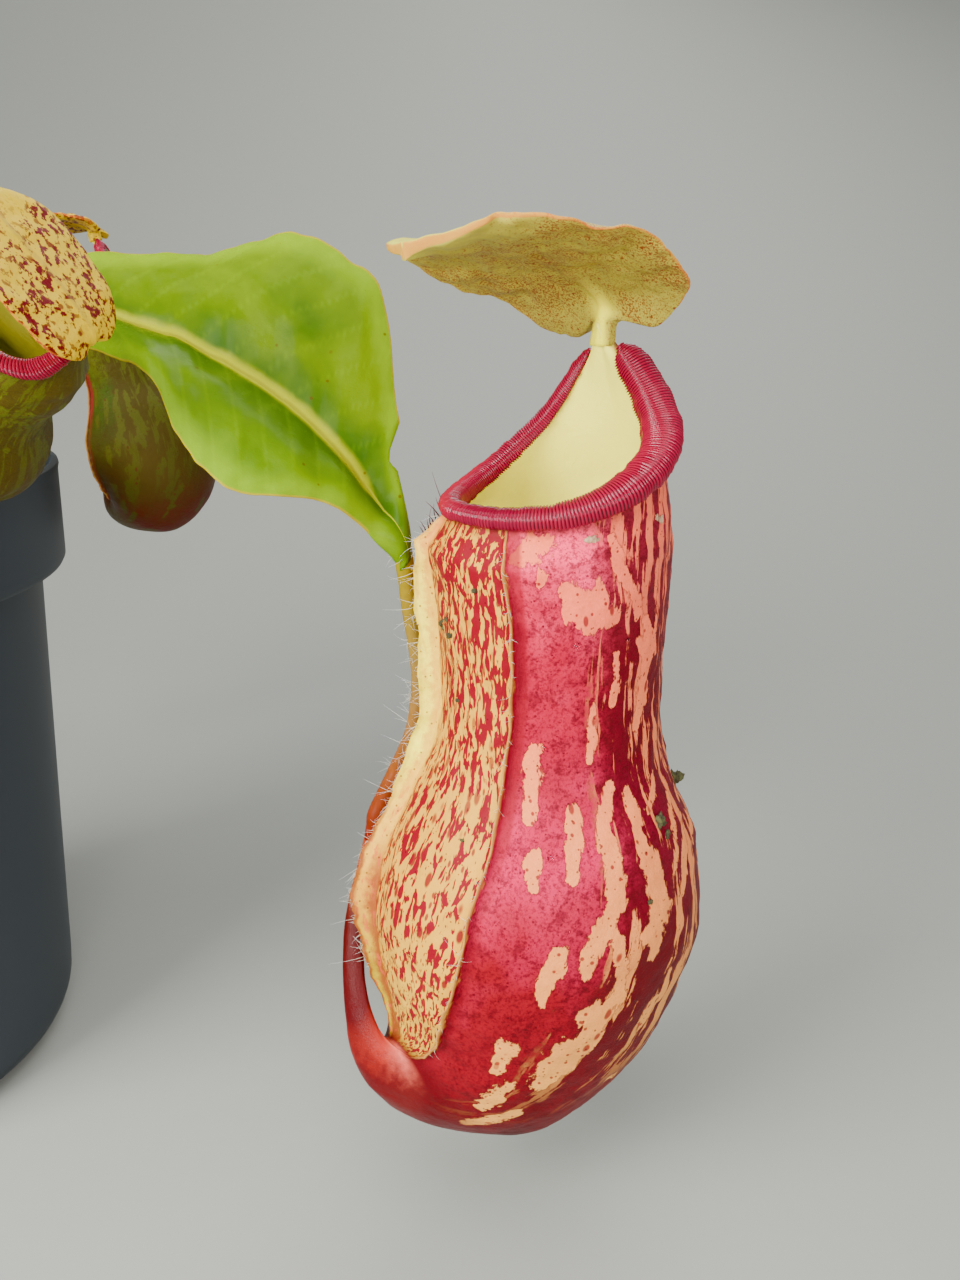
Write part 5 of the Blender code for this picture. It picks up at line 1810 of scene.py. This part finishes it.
@dataclass(frozen=True)
class MainLeaf:
    """The broad leaf that carries the large pitcher, standing on edge with its face outward."""

    shape: tuple = (
        (4.2, 0.0, 106.0, 0.0, 2.0, 0.4, 0.0, -2.0, -0.2),
        (6.5, 0.0, 106.4, 0.0, 1.9, 1.2, 0.0, -2.2, -0.6),
        (14.0, -0.3, 111.5, 0.0, 2.0, 2.2, 0.0, -3.0, -1.0),
        (24.5, -0.9, 116.5, 0.3, 3.0, 4.0, 0.5, -4.8, -1.8),
        (35.5, -1.9, 120.0, 0.6, 4.2, 5.6, 1.0, -6.4, -2.6),
        (47.0, -3.2, 122.2, 1.0, 5.2, 7.2, 1.8, -8.0, -3.4),
        (58.0, -4.8, 122.6, 1.5, 6.0, 8.6, 2.4, -8.9, -4.1),
        (68.5, -8.2, 120.2, 4.8, 9.2, 11.0, 0.6, -13.4, -4.2),
        (78.0, -11.9, 116.2, 6.5, 9.2, 17.0, -3.4, -15.2, -8.5),
        (86.8, -15.3, 110.8, 8.4, 8.3, 16.2, -5.6, -15.0, -7.8),
        (94.0, -18.2, 103.6, 5.0, 4.0, 8.5, -2.8, -8.2, -2.6),
        (99.7, -20.5, 96.0, 1.2, 1.0, 3.2, -1.6, -2.2, -1.6),
        (100.9, -21.0, 91.6, 0.7, 0.4, 0.8, -0.7, -0.4, -0.8),
    )
    bends: tuple = ((12.0, -14.9, 78.0), (11.7, -13.7, 70.0), (12.4, -14.3, 62.0), (12.0, -19.4, 54.0))
    radii: tuple = (1.3, 1.2, 1.2, 1.3, 1.5)
    rows: int = 170
    far_notch: tuple = (
        (0, 0.66, 0.74, 0.8, 0.85, 0.885, 0.9, 0.908, 0.915, 0.93, 0.95, 0.975, 1),
        (0, 0, 0.06, 0.12, 0.14, 0.16, 0.18, -0.5, -0.5, -0.2, -0.24, -0.1, 0),
    )

    def build(self, skin: Material, hair: Material) -> None:
        """Make the leaf and its tendril's hairs."""
        shape = along_route(self.shape, self.rows)
        end, away = tail_end(MAIN)
        route = [shape[-4, :3], shape[-1, :3], *(MAIN.world(p) for p in self.bends)]
        route = np.array([*route, end + away * 4, end + away * 2, end - away * 0.6])
        leaf = Leaf("leaf_1", far_notch=self.far_notch)
        leaf.build((shape[:, :3], shape[:, 3:6], shape[:, 6:9]), route, self.radii, skin)
        leaf.hairs(route, 110, hair)


@dataclass(frozen=True)
class HangingLeaf:
    """A leaf arched from the stem, whose tendril hangs from its tip."""

    number: int
    start: tuple
    tip: tuple
    arch: float
    half_width: float
    roll: float = 0.0
    ripple: float = 0.8
    fold: float = 14.0
    stalk: float = 2.2
    stalk_share: float = 0.25
    rows: int = 120

    def outward(self) -> Array:
        """The level direction from the leaf's start to its tip."""
        return unit([self.tip[0] - self.start[0], self.tip[1] - self.start[1], 0])

    def midrib_route(self) -> Array:
        """Places of the midrib, level at the stem and arched over to the tip."""
        start, tip = np.array(self.start, float), np.array(self.tip, float)
        points = [start, start + self.outward() * 2.4]
        for s in np.arange(1, 7) / 6:
            point = start + (tip - start) * s + self.outward() * 2 * (1 - s)
            point[2] += self.arch * 4 * s * (1 - s)
            points.append(point)
        return np.array(points)

    def blade(self) -> tuple[Array, Array, Array]:
        """Midrib places and the reaches to both edges, rolled and folded about the midrib."""
        midrib = along_route(self.midrib_route(), self.rows)
        s = np.linspace(0, 1, self.rows)
        along = unit(np.gradient(midrib, axis=0))
        side = unit(np.cross([0, 0, 1], along))
        normal = np.cross(along, side)
        grown = np.clip((s - self.stalk_share * 0.6) / (1 - self.stalk_share * 0.6), 0, 1)
        width = self.stalk + (self.half_width - self.stalk) * np.sin(math.pi * grown**1.15) ** 0.8
        width = np.where(s > 0.9, np.minimum(width, 1.25 + (1 - s) * self.half_width * 6), width)
        reach = []
        for sign in (1, -1):
            tilt = math.radians(self.roll + sign * self.fold)
            reach.append(sign * (side * math.cos(tilt) + normal * math.sin(tilt)) * width[:, None])
        return midrib, reach[0], reach[1]

    def tendril_route(self, stand: Stand) -> Array:
        """Places of the tendril, from the leaf's tip over into the pitcher's tail."""
        end, away = tail_end(stand)
        tip = np.array(self.tip, float)
        above = end + away * 9 - self.outward() * 1.5
        bend = (tip + above) / 2 + self.outward()
        return np.array([tip, bend, above, end + away * 5, end + away * 2.5, end - away * 0.4], float)

    def build(self, skin: Material, hair: Material, route: Array, radii: Sequence) -> None:
        """Make the leaf and its tendril's hairs.

        Args:
            skin: The leaf's finish.
            hair: The hairs' finish.
            route: The tendril's places.
            radii: The tendril's radius at equal steps.
        """
        seed = Seed.HANGING_LEAF + self.number
        leaf = Leaf(f"leaf_{self.number}", ripple=self.ripple, columns=41, seed=seed)
        leaf.build(self.blade(), route, radii, skin)
        leaf.hairs(route, 60, hair)


@dataclass(frozen=True)
class Bud:
    """An unopened pitcher on its tail, its lid still pressed shut and its skin furred."""

    stand: Stand = BUD
    sides: int = 60
    hairs: int = 500
    top: tuple = ((1.0, 0.0), (0.97, 8.0), (0.8, 15.0), (0.45, 20.0), (0.12, 22.5))

    def build(self, hair: Material) -> None:
        """Make the bud and its fur."""
        angle = np.arange(self.sides) * 360 / self.sides
        rings = [FORM.wall_point(t, angle) for t in np.linspace(0, 13.5, 110)]
        base = rings[-1]
        for share, rise in smooth(self.top, np.linspace(0, 4, 26)[1:]):
            rings.append(base * [share, share * 0.8, 1] + [-0.15 * rise, 0, rise])
        rings = np.array(rings)
        seam = np.exp(-(((rings[..., 2] - 96 - 0.25 * rings[..., 0]) / 0.9) ** 2))
        rings[..., :2] *= (1 - 0.06 * seam)[..., None]
        places = self.stand.world(rings)
        shell = closed_loft(places, {"local": rings})
        shell.piece("pitcher_5_bud_skin", BudSkin().material(), Slot.BUD, "pitcher_5_bud")
        rng = np.random.default_rng(Seed.BUD)
        row, column = rng.integers([20, 0], [len(rings) - 2, self.sides], size=(self.hairs, 2)).T
        roots = places[row, column]
        courses = unit(roots - places[row].mean(axis=1)) + rng.normal(size=(self.hairs, 3)) * 0.5
        lengths = rng.uniform(0.4, 1.0, self.hairs)
        fur = HairFringe(thickness=0.035, seed=Seed.BUD_FUR).grow(roots, courses, lengths)
        fur.piece("pitcher_5_bud_hairs", hair, Slot.BUD)


@dataclass(frozen=True)
class Stem:
    """The short stem with its leaf scars, and the youngest leaf rolled up above it."""

    sides: int = 48
    radius: float = 3.2
    foot: float = 74.0
    top: float = 113.0

    def build(self, leaf_skin: Material) -> None:
        """Make the stem and the rolled leaf."""
        z = np.linspace(self.foot, self.top, 110)
        swell = self.radius - 0.35 + 0.2 * np.sin(z * 1.9) + 0.08 * np.sin(z * 6.1)
        swell = np.where(z > self.top - 2, swell * np.clip((self.top + 1.2 - z) / 3.2, 0.4, 1), swell)
        turn = np.arange(self.sides) * 2 * math.pi / self.sides
        ridge = 1 + 0.03 * np.sin(5 * turn + z[:, None] * 0.12)
        rings = np.zeros((*ridge.shape, 3))
        rings[..., :2] = circle_of(self.sides) * (swell[:, None] * ridge)[..., None]
        rings[..., 2] = z[:, None]
        shell = closed_loft(rings, {"local": rings})
        shell.piece("stem_bark", StemSkin().material(), Slot.STEM, "stem")
        self.rolled_leaf(leaf_skin)

    def rolled_leaf(self, skin: Material) -> None:
        """The rolled leaf, its overlapping edge winding up it."""
        s = np.linspace(0, 1, 90)
        turn = np.arange(self.sides) * 2 * math.pi / self.sides
        size = 0.5 + 1.9 * np.sin(math.pi * (0.12 + 0.86 * s)) ** 0.9
        angle = turn + 0.9 * s[:, None]
        step = 1 - 0.1 * np.exp(-(((turn / 2 / math.pi * 8) % 8) / 0.9)) * np.ones_like(angle)
        rings = np.zeros((*angle.shape, 3))
        wide = size[:, None] * np.cos(angle) * (1 + 0.22 * np.cos(angle)) * step
        rings[..., 0] = -1.5 * s[:, None] ** 2 + wide
        rings[..., 1] = 1.2 * s[:, None] + size[:, None] * 0.8 * np.sin(angle) * step
        rings[..., 2] = self.top + 0.3 + 25 * s[:, None]
        nerve = np.abs(np.sin(angle * 6)) ** 8
        marks = leaf_marks(angle, local=rings, share=np.full(angle.shape, 0.3), nerve=nerve)
        closed_loft(rings, marks).piece("rolled_leaf_spike", skin, Slot.LEAF, "rolled_leaf")


def level_rings(circle: Array, line: Sequence) -> Array:
    """Level rings round the upright axis.

    Args:
        circle: Points round a flat circle of radius one.
        line: The radius and height of each ring.

    Returns:
        The rings.
    """
    return np.array([np.column_stack([circle * r, np.full(len(circle), z)]) for r, z in line])


@dataclass(frozen=True)
class Pot:
    """The round nursery pot: deep collar, rounded foot and drain holes."""

    segments: int = 144
    height: float = 100.0
    rim_radius: float = 45.0
    collar: float = 16.5
    collar_foot: float = 44.4
    body_top: float = 40.4
    body_foot: float = 36.8
    foot_radius: float = 31.0
    foot_rise: float = 8.0
    wall: float = 1.4
    floor: float = 2.0
    drain_ring: float = 21.0
    drain_radius: float = 3.6
    drains: int = 6
    sharp_angle: float = 42.0

    def profile(self) -> list:
        """Radius and height round the pot's wall, from the underside over the rim to the floor."""
        foot, low, high, wall = self.foot_radius, self.body_foot, self.body_top, self.wall
        collar, rim, top, tuck = self.collar_foot, self.rim_radius, self.height, self.height - self.collar
        line = [(self.drain_ring / 2, 0.0), (foot - 8, 0.0)]
        for turn in np.radians(np.linspace(0, 90, 9)):
            line.append((foot + (low - foot) * math.sin(turn), self.foot_rise * (1 - math.cos(turn))))
        return line + [
            (low + 0.1, self.foot_rise + 1.0), (high - 0.05, tuck - 2.2), (high, tuck - 0.9),
            (high + 0.5, tuck - 0.25), (collar - 1.0, tuck), (collar - 0.35, tuck + 0.25),
            (collar, tuck + 0.9), (collar + 0.05, tuck + 2), (rim - 0.2, top - 1.6), (rim, top - 0.9),
            (rim - 0.12, top - 0.3), (rim - 0.5, top - 0.02), (rim - 1.0, top), (rim - 1.3, top - 0.3),
            (rim - wall, top - 0.9), (collar - wall, tuck + 2.6), (high - wall + 0.4, tuck + 1.8),
            (high - wall, tuck + 1.0), (low - wall, self.foot_rise + self.floor),
            (foot - wall / 2, self.floor), (self.drain_ring / 2, self.floor),
        ]

    def build(self) -> None:
        """Make the pot and cut its drain holes."""
        rings = level_rings(circle_of(self.segments), self.profile())
        shell = closed_loft(rings, {"local": rings})
        pot = shell.piece("pot_moulding", PotPlastic().material(), Slot.POT, "pot")
        cutters = []
        for k in range(self.drains):
            angle = 2 * math.pi * (k / self.drains + 0.5 / 36)
            middle = np.array([self.drain_ring * math.cos(angle), self.drain_ring * math.sin(angle), 0])
            ends = level_rings(circle_of(self.segments)[::4], [(self.drain_radius, z) for z in (-3, 5)])
            cutters.append(closed_loft(ends + middle, {}))
        cutter = placed("drain_cutter", Surface.gather(cutters).mesh("drain_cutter"))
        cut = pot.modifiers.new("drain", "BOOLEAN")
        cut.operation, cut.solver, cut.object = "DIFFERENCE", "EXACT", cutter
        drilled = pot.evaluated_get(bpy.context.evaluated_depsgraph_get())
        shaped = bpy.data.meshes.new_from_object(drilled)
        pot.modifiers.clear()
        pot.data = shaped
        shaped.name = "pot_moulding"
        shaped.set_sharp_from_angle(angle=math.radians(self.sharp_angle))
        bpy.data.objects.remove(cutter, do_unlink=True)


@dataclass(frozen=True)
class PottingMix:
    """Bark chips, crumbs and moss that fill the pot."""

    top: float = 87.0
    lump: float = 1.3
    hole: float = 3.5
    radius: float = 42.7
    sides: int = 180
    chips: int = 330
    chip_sides: int = 9
    chip_size: tuple = (1.3, 4.2)
    chip_reach: float = 40.5
    chip_limit: float = 42.0
    strands: int = 420
    strand_start: tuple = (6.5, 39.0)
    strand_limit: float = 41.6
    strand_step: float = 0.95
    strand_knots: int = 9
    strand_sides: int = 5
    strand_rows: int = 14

    def level(self, x: Array, y: Array) -> Array:
        """Height of the filling at a place."""
        coarse = np.sin(0.23 * x + 1.1) * np.cos(0.19 * y - 0.6)
        fine = np.sin(0.61 * x - 0.5 * y + 2.0) * np.cos(0.47 * y + 0.3 * x)
        return self.top + self.lump * (0.7 * coarse + 0.5 * fine)

    def ground(self) -> None:
        """The filling's body with a crumbly top."""
        circle = circle_of(self.sides)
        side = [(1.2, 2.3), (29.3, 2.3), (35.0, 10.3), (38.7, 85.2), (42.6, 86.2)]
        rings = list(level_rings(circle, side))
        for r in np.linspace(self.radius, self.hole + 0.2, 90):
            place = circle * r
            rough = 0.5 * unevenness(place, 4.0, Seed.FILL_CRUMBS, 4)
            rough = rough + 0.35 * np.abs(unevenness(place, 2.0, Seed.FILL_GRAIN))
            rings.append(np.column_stack([place, self.level(*place.T) + rough - 0.4]))
        rings = np.array([*rings, *level_rings(circle, [(self.hole, 73.7)])])
        chance = 0.5 + 0.3 * unevenness(rings, 9.0, Seed.FILL_TONES)
        tones = ((0.1, (24, 16, 10)), (0.5, (60, 42, 26)), (0.9, (104, 80, 52)))
        finish = CrumbMix("potting_mix_finish", tones)
        shell = closed_loft(rings, {"local": rings, "chance": chance})
        shell.piece("growing_medium_fill", finish.material(), Slot.MEDIUM, "growing_medium")

    def bark(self) -> None:
        """Chips of bark, each a cracked flat lump of its own."""
        rng = np.random.default_rng(Seed.BARK)
        cos, sin = circle_of(self.chip_sides).T
        chips = []
        for _ in range(self.chips):
            reach = self.chip_reach * math.sqrt(rng.uniform(0.02, 1))
            angle = rng.uniform(0, 2 * math.pi)
            x, y = reach * math.cos(angle), reach * math.sin(angle)
            size = rng.uniform(*self.chip_size)
            if reach < self.hole + size or reach + size > self.chip_limit:
                continue
            tall = size * rng.uniform(0.25, 0.45)
            sides = rng.uniform(0.72, 1.15, self.chip_sides) * size
            spin = rng.uniform(0, 6.28)
            rings = []
            for share, rise in ((0.6, -1), (0.97, -0.6), (1.0, 0.3), (0.86, 0.85), (0.4, 1.0)):
                ring = np.stack([cos * sides, sin * sides * 0.62, 0 * cos], -1) * share
                rings.append(ring + [0, 0, rise * tall] + rng.normal(size=ring.shape) * 0.06 * size)
            rings = np.array(rings)
            tilt = rng.normal(size=2) * 0.32
            rings[..., 2] += rings[..., 0] * tilt[0] + rings[..., 1] * tilt[1]
            c, s = math.cos(spin), math.sin(spin)
            rings[..., :2] = rings[..., :2] @ np.array([[c, -s], [s, c]])
            rings += [x, y, float(self.level(x, y)) + tall * 0.5]
            marks = {"local": rings, "chance": np.full(rings.shape[:2], rng.uniform())}
            chips.append(closed_loft(rings, marks))
        tones = ((0.12, (38, 22, 14)), (0.45, (84, 52, 30)), (0.85, (146, 104, 66)))
        finish = CrumbMix("bark_chip_finish", tones, grain=0.3, roughness=0.8)
        piece = Surface.gather(chips).piece("growing_medium_bark", finish.material(), Slot.MEDIUM)
        piece.data.set_sharp_from_angle(angle=math.radians(35))

    def moss(self) -> None:
        """Curling strands of long-fibred moss among the chips."""
        rng = np.random.default_rng(Seed.MOSS)
        strands = []
        for _ in range(self.strands):
            reach, heading = rng.uniform(*self.strand_start), rng.uniform(0, 6.28)
            place = np.array([reach * math.cos(heading), reach * math.sin(heading)])
            heading, path = rng.uniform(0, 6.28), []
            for k in range(self.strand_knots):
                if not self.hole + 1.0 < np.linalg.norm(place) < self.strand_limit:
                    break
                rise = 0.5 + 0.8 * abs(math.sin(k * 0.9 + reach))
                path.append([*place, float(self.level(*place)) + rise])
                heading += rng.normal() * 0.5
                place = place + self.strand_step * np.array([math.cos(heading), math.sin(heading)])
            if len(path) < 4:
                continue
            path = smooth(path, np.linspace(0, len(path) - 1, self.strand_rows))
            size = 0.2 * np.sin(math.pi * np.linspace(0.12, 0.95, self.strand_rows)) + 0.05
            rings = tube(path, size, (0.1, 0.2, 1.0), self.strand_sides)
            marks = {"local": rings, "chance": np.full(rings.shape[:2], rng.uniform())}
            strands.append(closed_loft(rings, marks))
        tones = ((0.1, (92, 84, 40)), (0.5, (150, 138, 76)), (0.9, (196, 182, 120)))
        finish = CrumbMix("moss_strand_finish", tones)
        Surface.gather(strands).piece("growing_medium_moss", finish.material(), Slot.MEDIUM)

    def build(self) -> None:
        """Make the filling, its chips and its moss."""
        self.ground()
        self.bark()
        self.moss()


def matrix_angles(turned: Array) -> tuple[float, float, float]:
    """The turns about x, y and z that make up a rotation given by its columns."""
    pitch = math.asin(max(-1.0, min(1.0, -turned[2, 0])))
    return math.atan2(turned[2, 1], turned[2, 2]), pitch, math.atan2(turned[1, 0], turned[0, 0])


@dataclass(frozen=True)
class Lamp:
    """One soft area light: its place, its side in millimetres, its power in watts and its colour."""

    name: str
    place: tuple
    side: float
    power: float
    tone: tuple = (1.0, 1.0, 1.0)

    def hang(self, aim: tuple) -> None:
        """Put the light in its place, pointing at the aim."""
        light = bpy.data.lights.new(self.name, "AREA")
        light.size, light.energy, light.color = self.side * MM, self.power, self.tone
        back = unit(np.array(self.place) - aim)
        right = unit(np.cross((0, 0, 1), back))
        obj = placed(self.name, light)
        obj.location = np.array(self.place) * MM
        obj.rotation_euler = matrix_angles(np.column_stack([right, np.cross(back, right), back]))


@dataclass(frozen=True)
class Studio:
    """Pale seamless paper, soft lights, and the camera at the photo's angle."""

    eye: tuple = (111.0, -164.0, 128.6)
    pitch: float = 18.5
    focal_pixels: float = 1100.0
    frame_height: float = 1280.0
    sensor: float = 36.0
    nearest: float = 5.0
    front: float = -1400.0
    depth: float = 620.0
    width: float = 2400.0
    bend: float = 420.0
    top: float = 1700.0
    drop: float = 0.02
    sky: tuple = (0.95, 0.98, 1.0, 1.0)
    sky_strength: float = 0.55
    aim: tuple = (90.0, 0.0, 70.0)
    lamps: tuple = (
        Lamp("key_light", (-210.0, -270.0, 250.0), 260.0, 4.6, (1.0, 0.98, 0.95)),
        Lamp("front_light", (190.0, -430.0, 170.0), 240.0, 2.0, (1.0, 0.99, 0.97)),
        Lamp("top_light", (60.0, -200.0, 600.0), 420.0, 2.4),
        Lamp("back_light", (240.0, 380.0, 520.0), 420.0, 2.6),
    )

    def paper(self) -> None:
        """The floor and backdrop as one curved sheet, a little under the pot's foot."""
        flat = self.depth - self.bend
        line = [(self.front, 0.0), (flat, 0.0)]
        for turn in np.radians(np.linspace(6, 90, 15)):
            line.append((flat + self.bend * math.sin(turn), self.bend * (1 - math.cos(turn))))
        line.append((self.depth, self.top))
        points = [(x, y, z - self.drop) for y, z in line for x in (-self.width / 2, self.width / 2)]
        faces = [[2 * i, 2 * i + 1, 2 * i + 3, 2 * i + 2] for i in range(len(line) - 1)]
        sheet = Surface(np.array(points), np.array(faces), np.zeros((0, 3), int), {})
        mesh = sheet.mesh("studio_paper")
        mesh.shade_smooth()
        mesh.materials.append(StudioPaper().material())
        placed("studio_paper", mesh)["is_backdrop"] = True

    def camera(self) -> None:
        """The camera at the photo's place, angle and lens."""
        lens = bpy.data.cameras.new("studio_camera")
        lens.sensor_fit = "AUTO"
        lens.sensor_width = self.sensor
        lens.lens = self.sensor * self.focal_pixels / self.frame_height
        lens.clip_start = self.nearest * MM
        camera = placed("studio_camera", lens)
        camera.location = np.array(self.eye) * MM
        camera.rotation_euler = (math.radians(90 - self.pitch), 0.0, 0.0)
        bpy.context.scene.camera = camera

    def build(self) -> None:
        """Make the paper, lights, sky and camera."""
        self.paper()
        for lamp in self.lamps:
            lamp.hang(self.aim)
        world = bpy.context.scene.world or bpy.data.worlds.new("studio_air")
        bpy.context.scene.world = world
        world.use_nodes = True
        air = world.node_tree.nodes["Background"]
        air.inputs["Color"].default_value = self.sky
        air.inputs["Strength"].default_value = self.sky_strength
        self.camera()


@dataclass(frozen=True)
class Plant:
    """The whole plant: stem, leaves, pitchers and bud."""

    leaves: tuple = (
        (HangingLeaf(2, (2.2, -3.2, 100), (26, -46, 124), 8, 8), FRONT),
        (HangingLeaf(3, (2.9, 2.25, 97.5), (34, 32, 114), 8, 7), BACK),
        (HangingLeaf(4, (-4.2, 0.4, 102), (-78, 9, 104), 20, 15, roll=18, ripple=1.2), LEFT),
        (HangingLeaf(5, (-1.1, 4.1, 108), (-21, 64, 104), 18, 13, roll=-8, ripple=1.1), BUD),
    )
    young: HangingLeaf = HangingLeaf(6, (-2.5, -3.5, 105.0), (-36.0, -52.0, 112.0), 16, 11, roll=6)
    young_tendril: tuple = (
        (-36.0, -52.0, 112.0), (-40, -58, 104), (-41, -60, 92), (-43, -62, 84), (-46, -63, 83),
    )
    young_radii: tuple = (1.25, 0.8, 0.8, 1.3, 2.0, 1.2)

    def build(self) -> None:
        """Make every piece of the plant."""
        skin = LeafSkin().material()
        pale_hair = HairStrand("pale_hair", (206, 190, 150), (240, 236, 224)).material()
        rust_hair = HairStrand("rust_hair", (150, 96, 60), (214, 186, 150)).material()
        Stem().build(skin)
        MainLeaf().build(skin, pale_hair)
        for leaf, stand in self.leaves:
            thick = 1.5 * stand.width
            leaf.build(skin, rust_hair, leaf.tendril_route(stand), (1.25, thick, thick))
        self.young.build(skin, rust_hair, np.array(self.young_tendril, float), self.young_radii)
        # The large lid's bright root colour is partly painted light on its neck.
        bright = LidSkin("lid_speckled", (180, 172, 62), (255, 240, 40), (122, 34, 26))
        small = LidSkin(
            "small_lid_speckled", (226, 190, 0), (214, 180, 0), (104, 0, 10),
            speck_size=6.0, depth=0.1, strength=1.0,
        )
        cup = Cup(1, MAIN, RED_SKIN, Slot.RED_PITCHER)
        cup.build()
        cup.fringe(pale_hair, 340)
        cup.bristles(HairStrand("dark_hair", (44, 2, 12), (74, 10, 22)).material())
        Litter().build()
        Peristome(1, MAIN).build()
        Lid(1, MAIN, bright).build()
        for number, stand in ((2, FRONT), (3, BACK), (4, LEFT)):
            red = stand is LEFT
            look = (RED_SKIN, Slot.RED_PITCHER) if red else (OLIVE_SKIN, Slot.OLIVE_PITCHER)
            cup = Cup(number, stand, *look, rows=110, inner_rows=50, panel=20, back=84)
            cup.build()
            cup.fringe(rust_hair, 260)
            Peristome(number, stand, ribs=120, steps=4, sides=20).build()
            Lid(number, stand, bright if red else small, rows=80, columns=51).build()
        Bud().build(rust_hair)


def main() -> None:
    """Build the studio, the pot and the plant, and note their size."""
    logging.basicConfig(level=logging.INFO, format="%(message)s")
    Studio().build()
    Pot().build()
    PottingMix().build()
    Plant().build()
    bpy.context.view_layer.update()
    boxes = {"cad": CAD_BOX, "visual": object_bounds()}
    plain = {name: np.asarray(box, float).tolist() for name, box in boxes.items()}
    LOG.info("sizes: %s", plain)


if __name__ == "__main__":
    main()
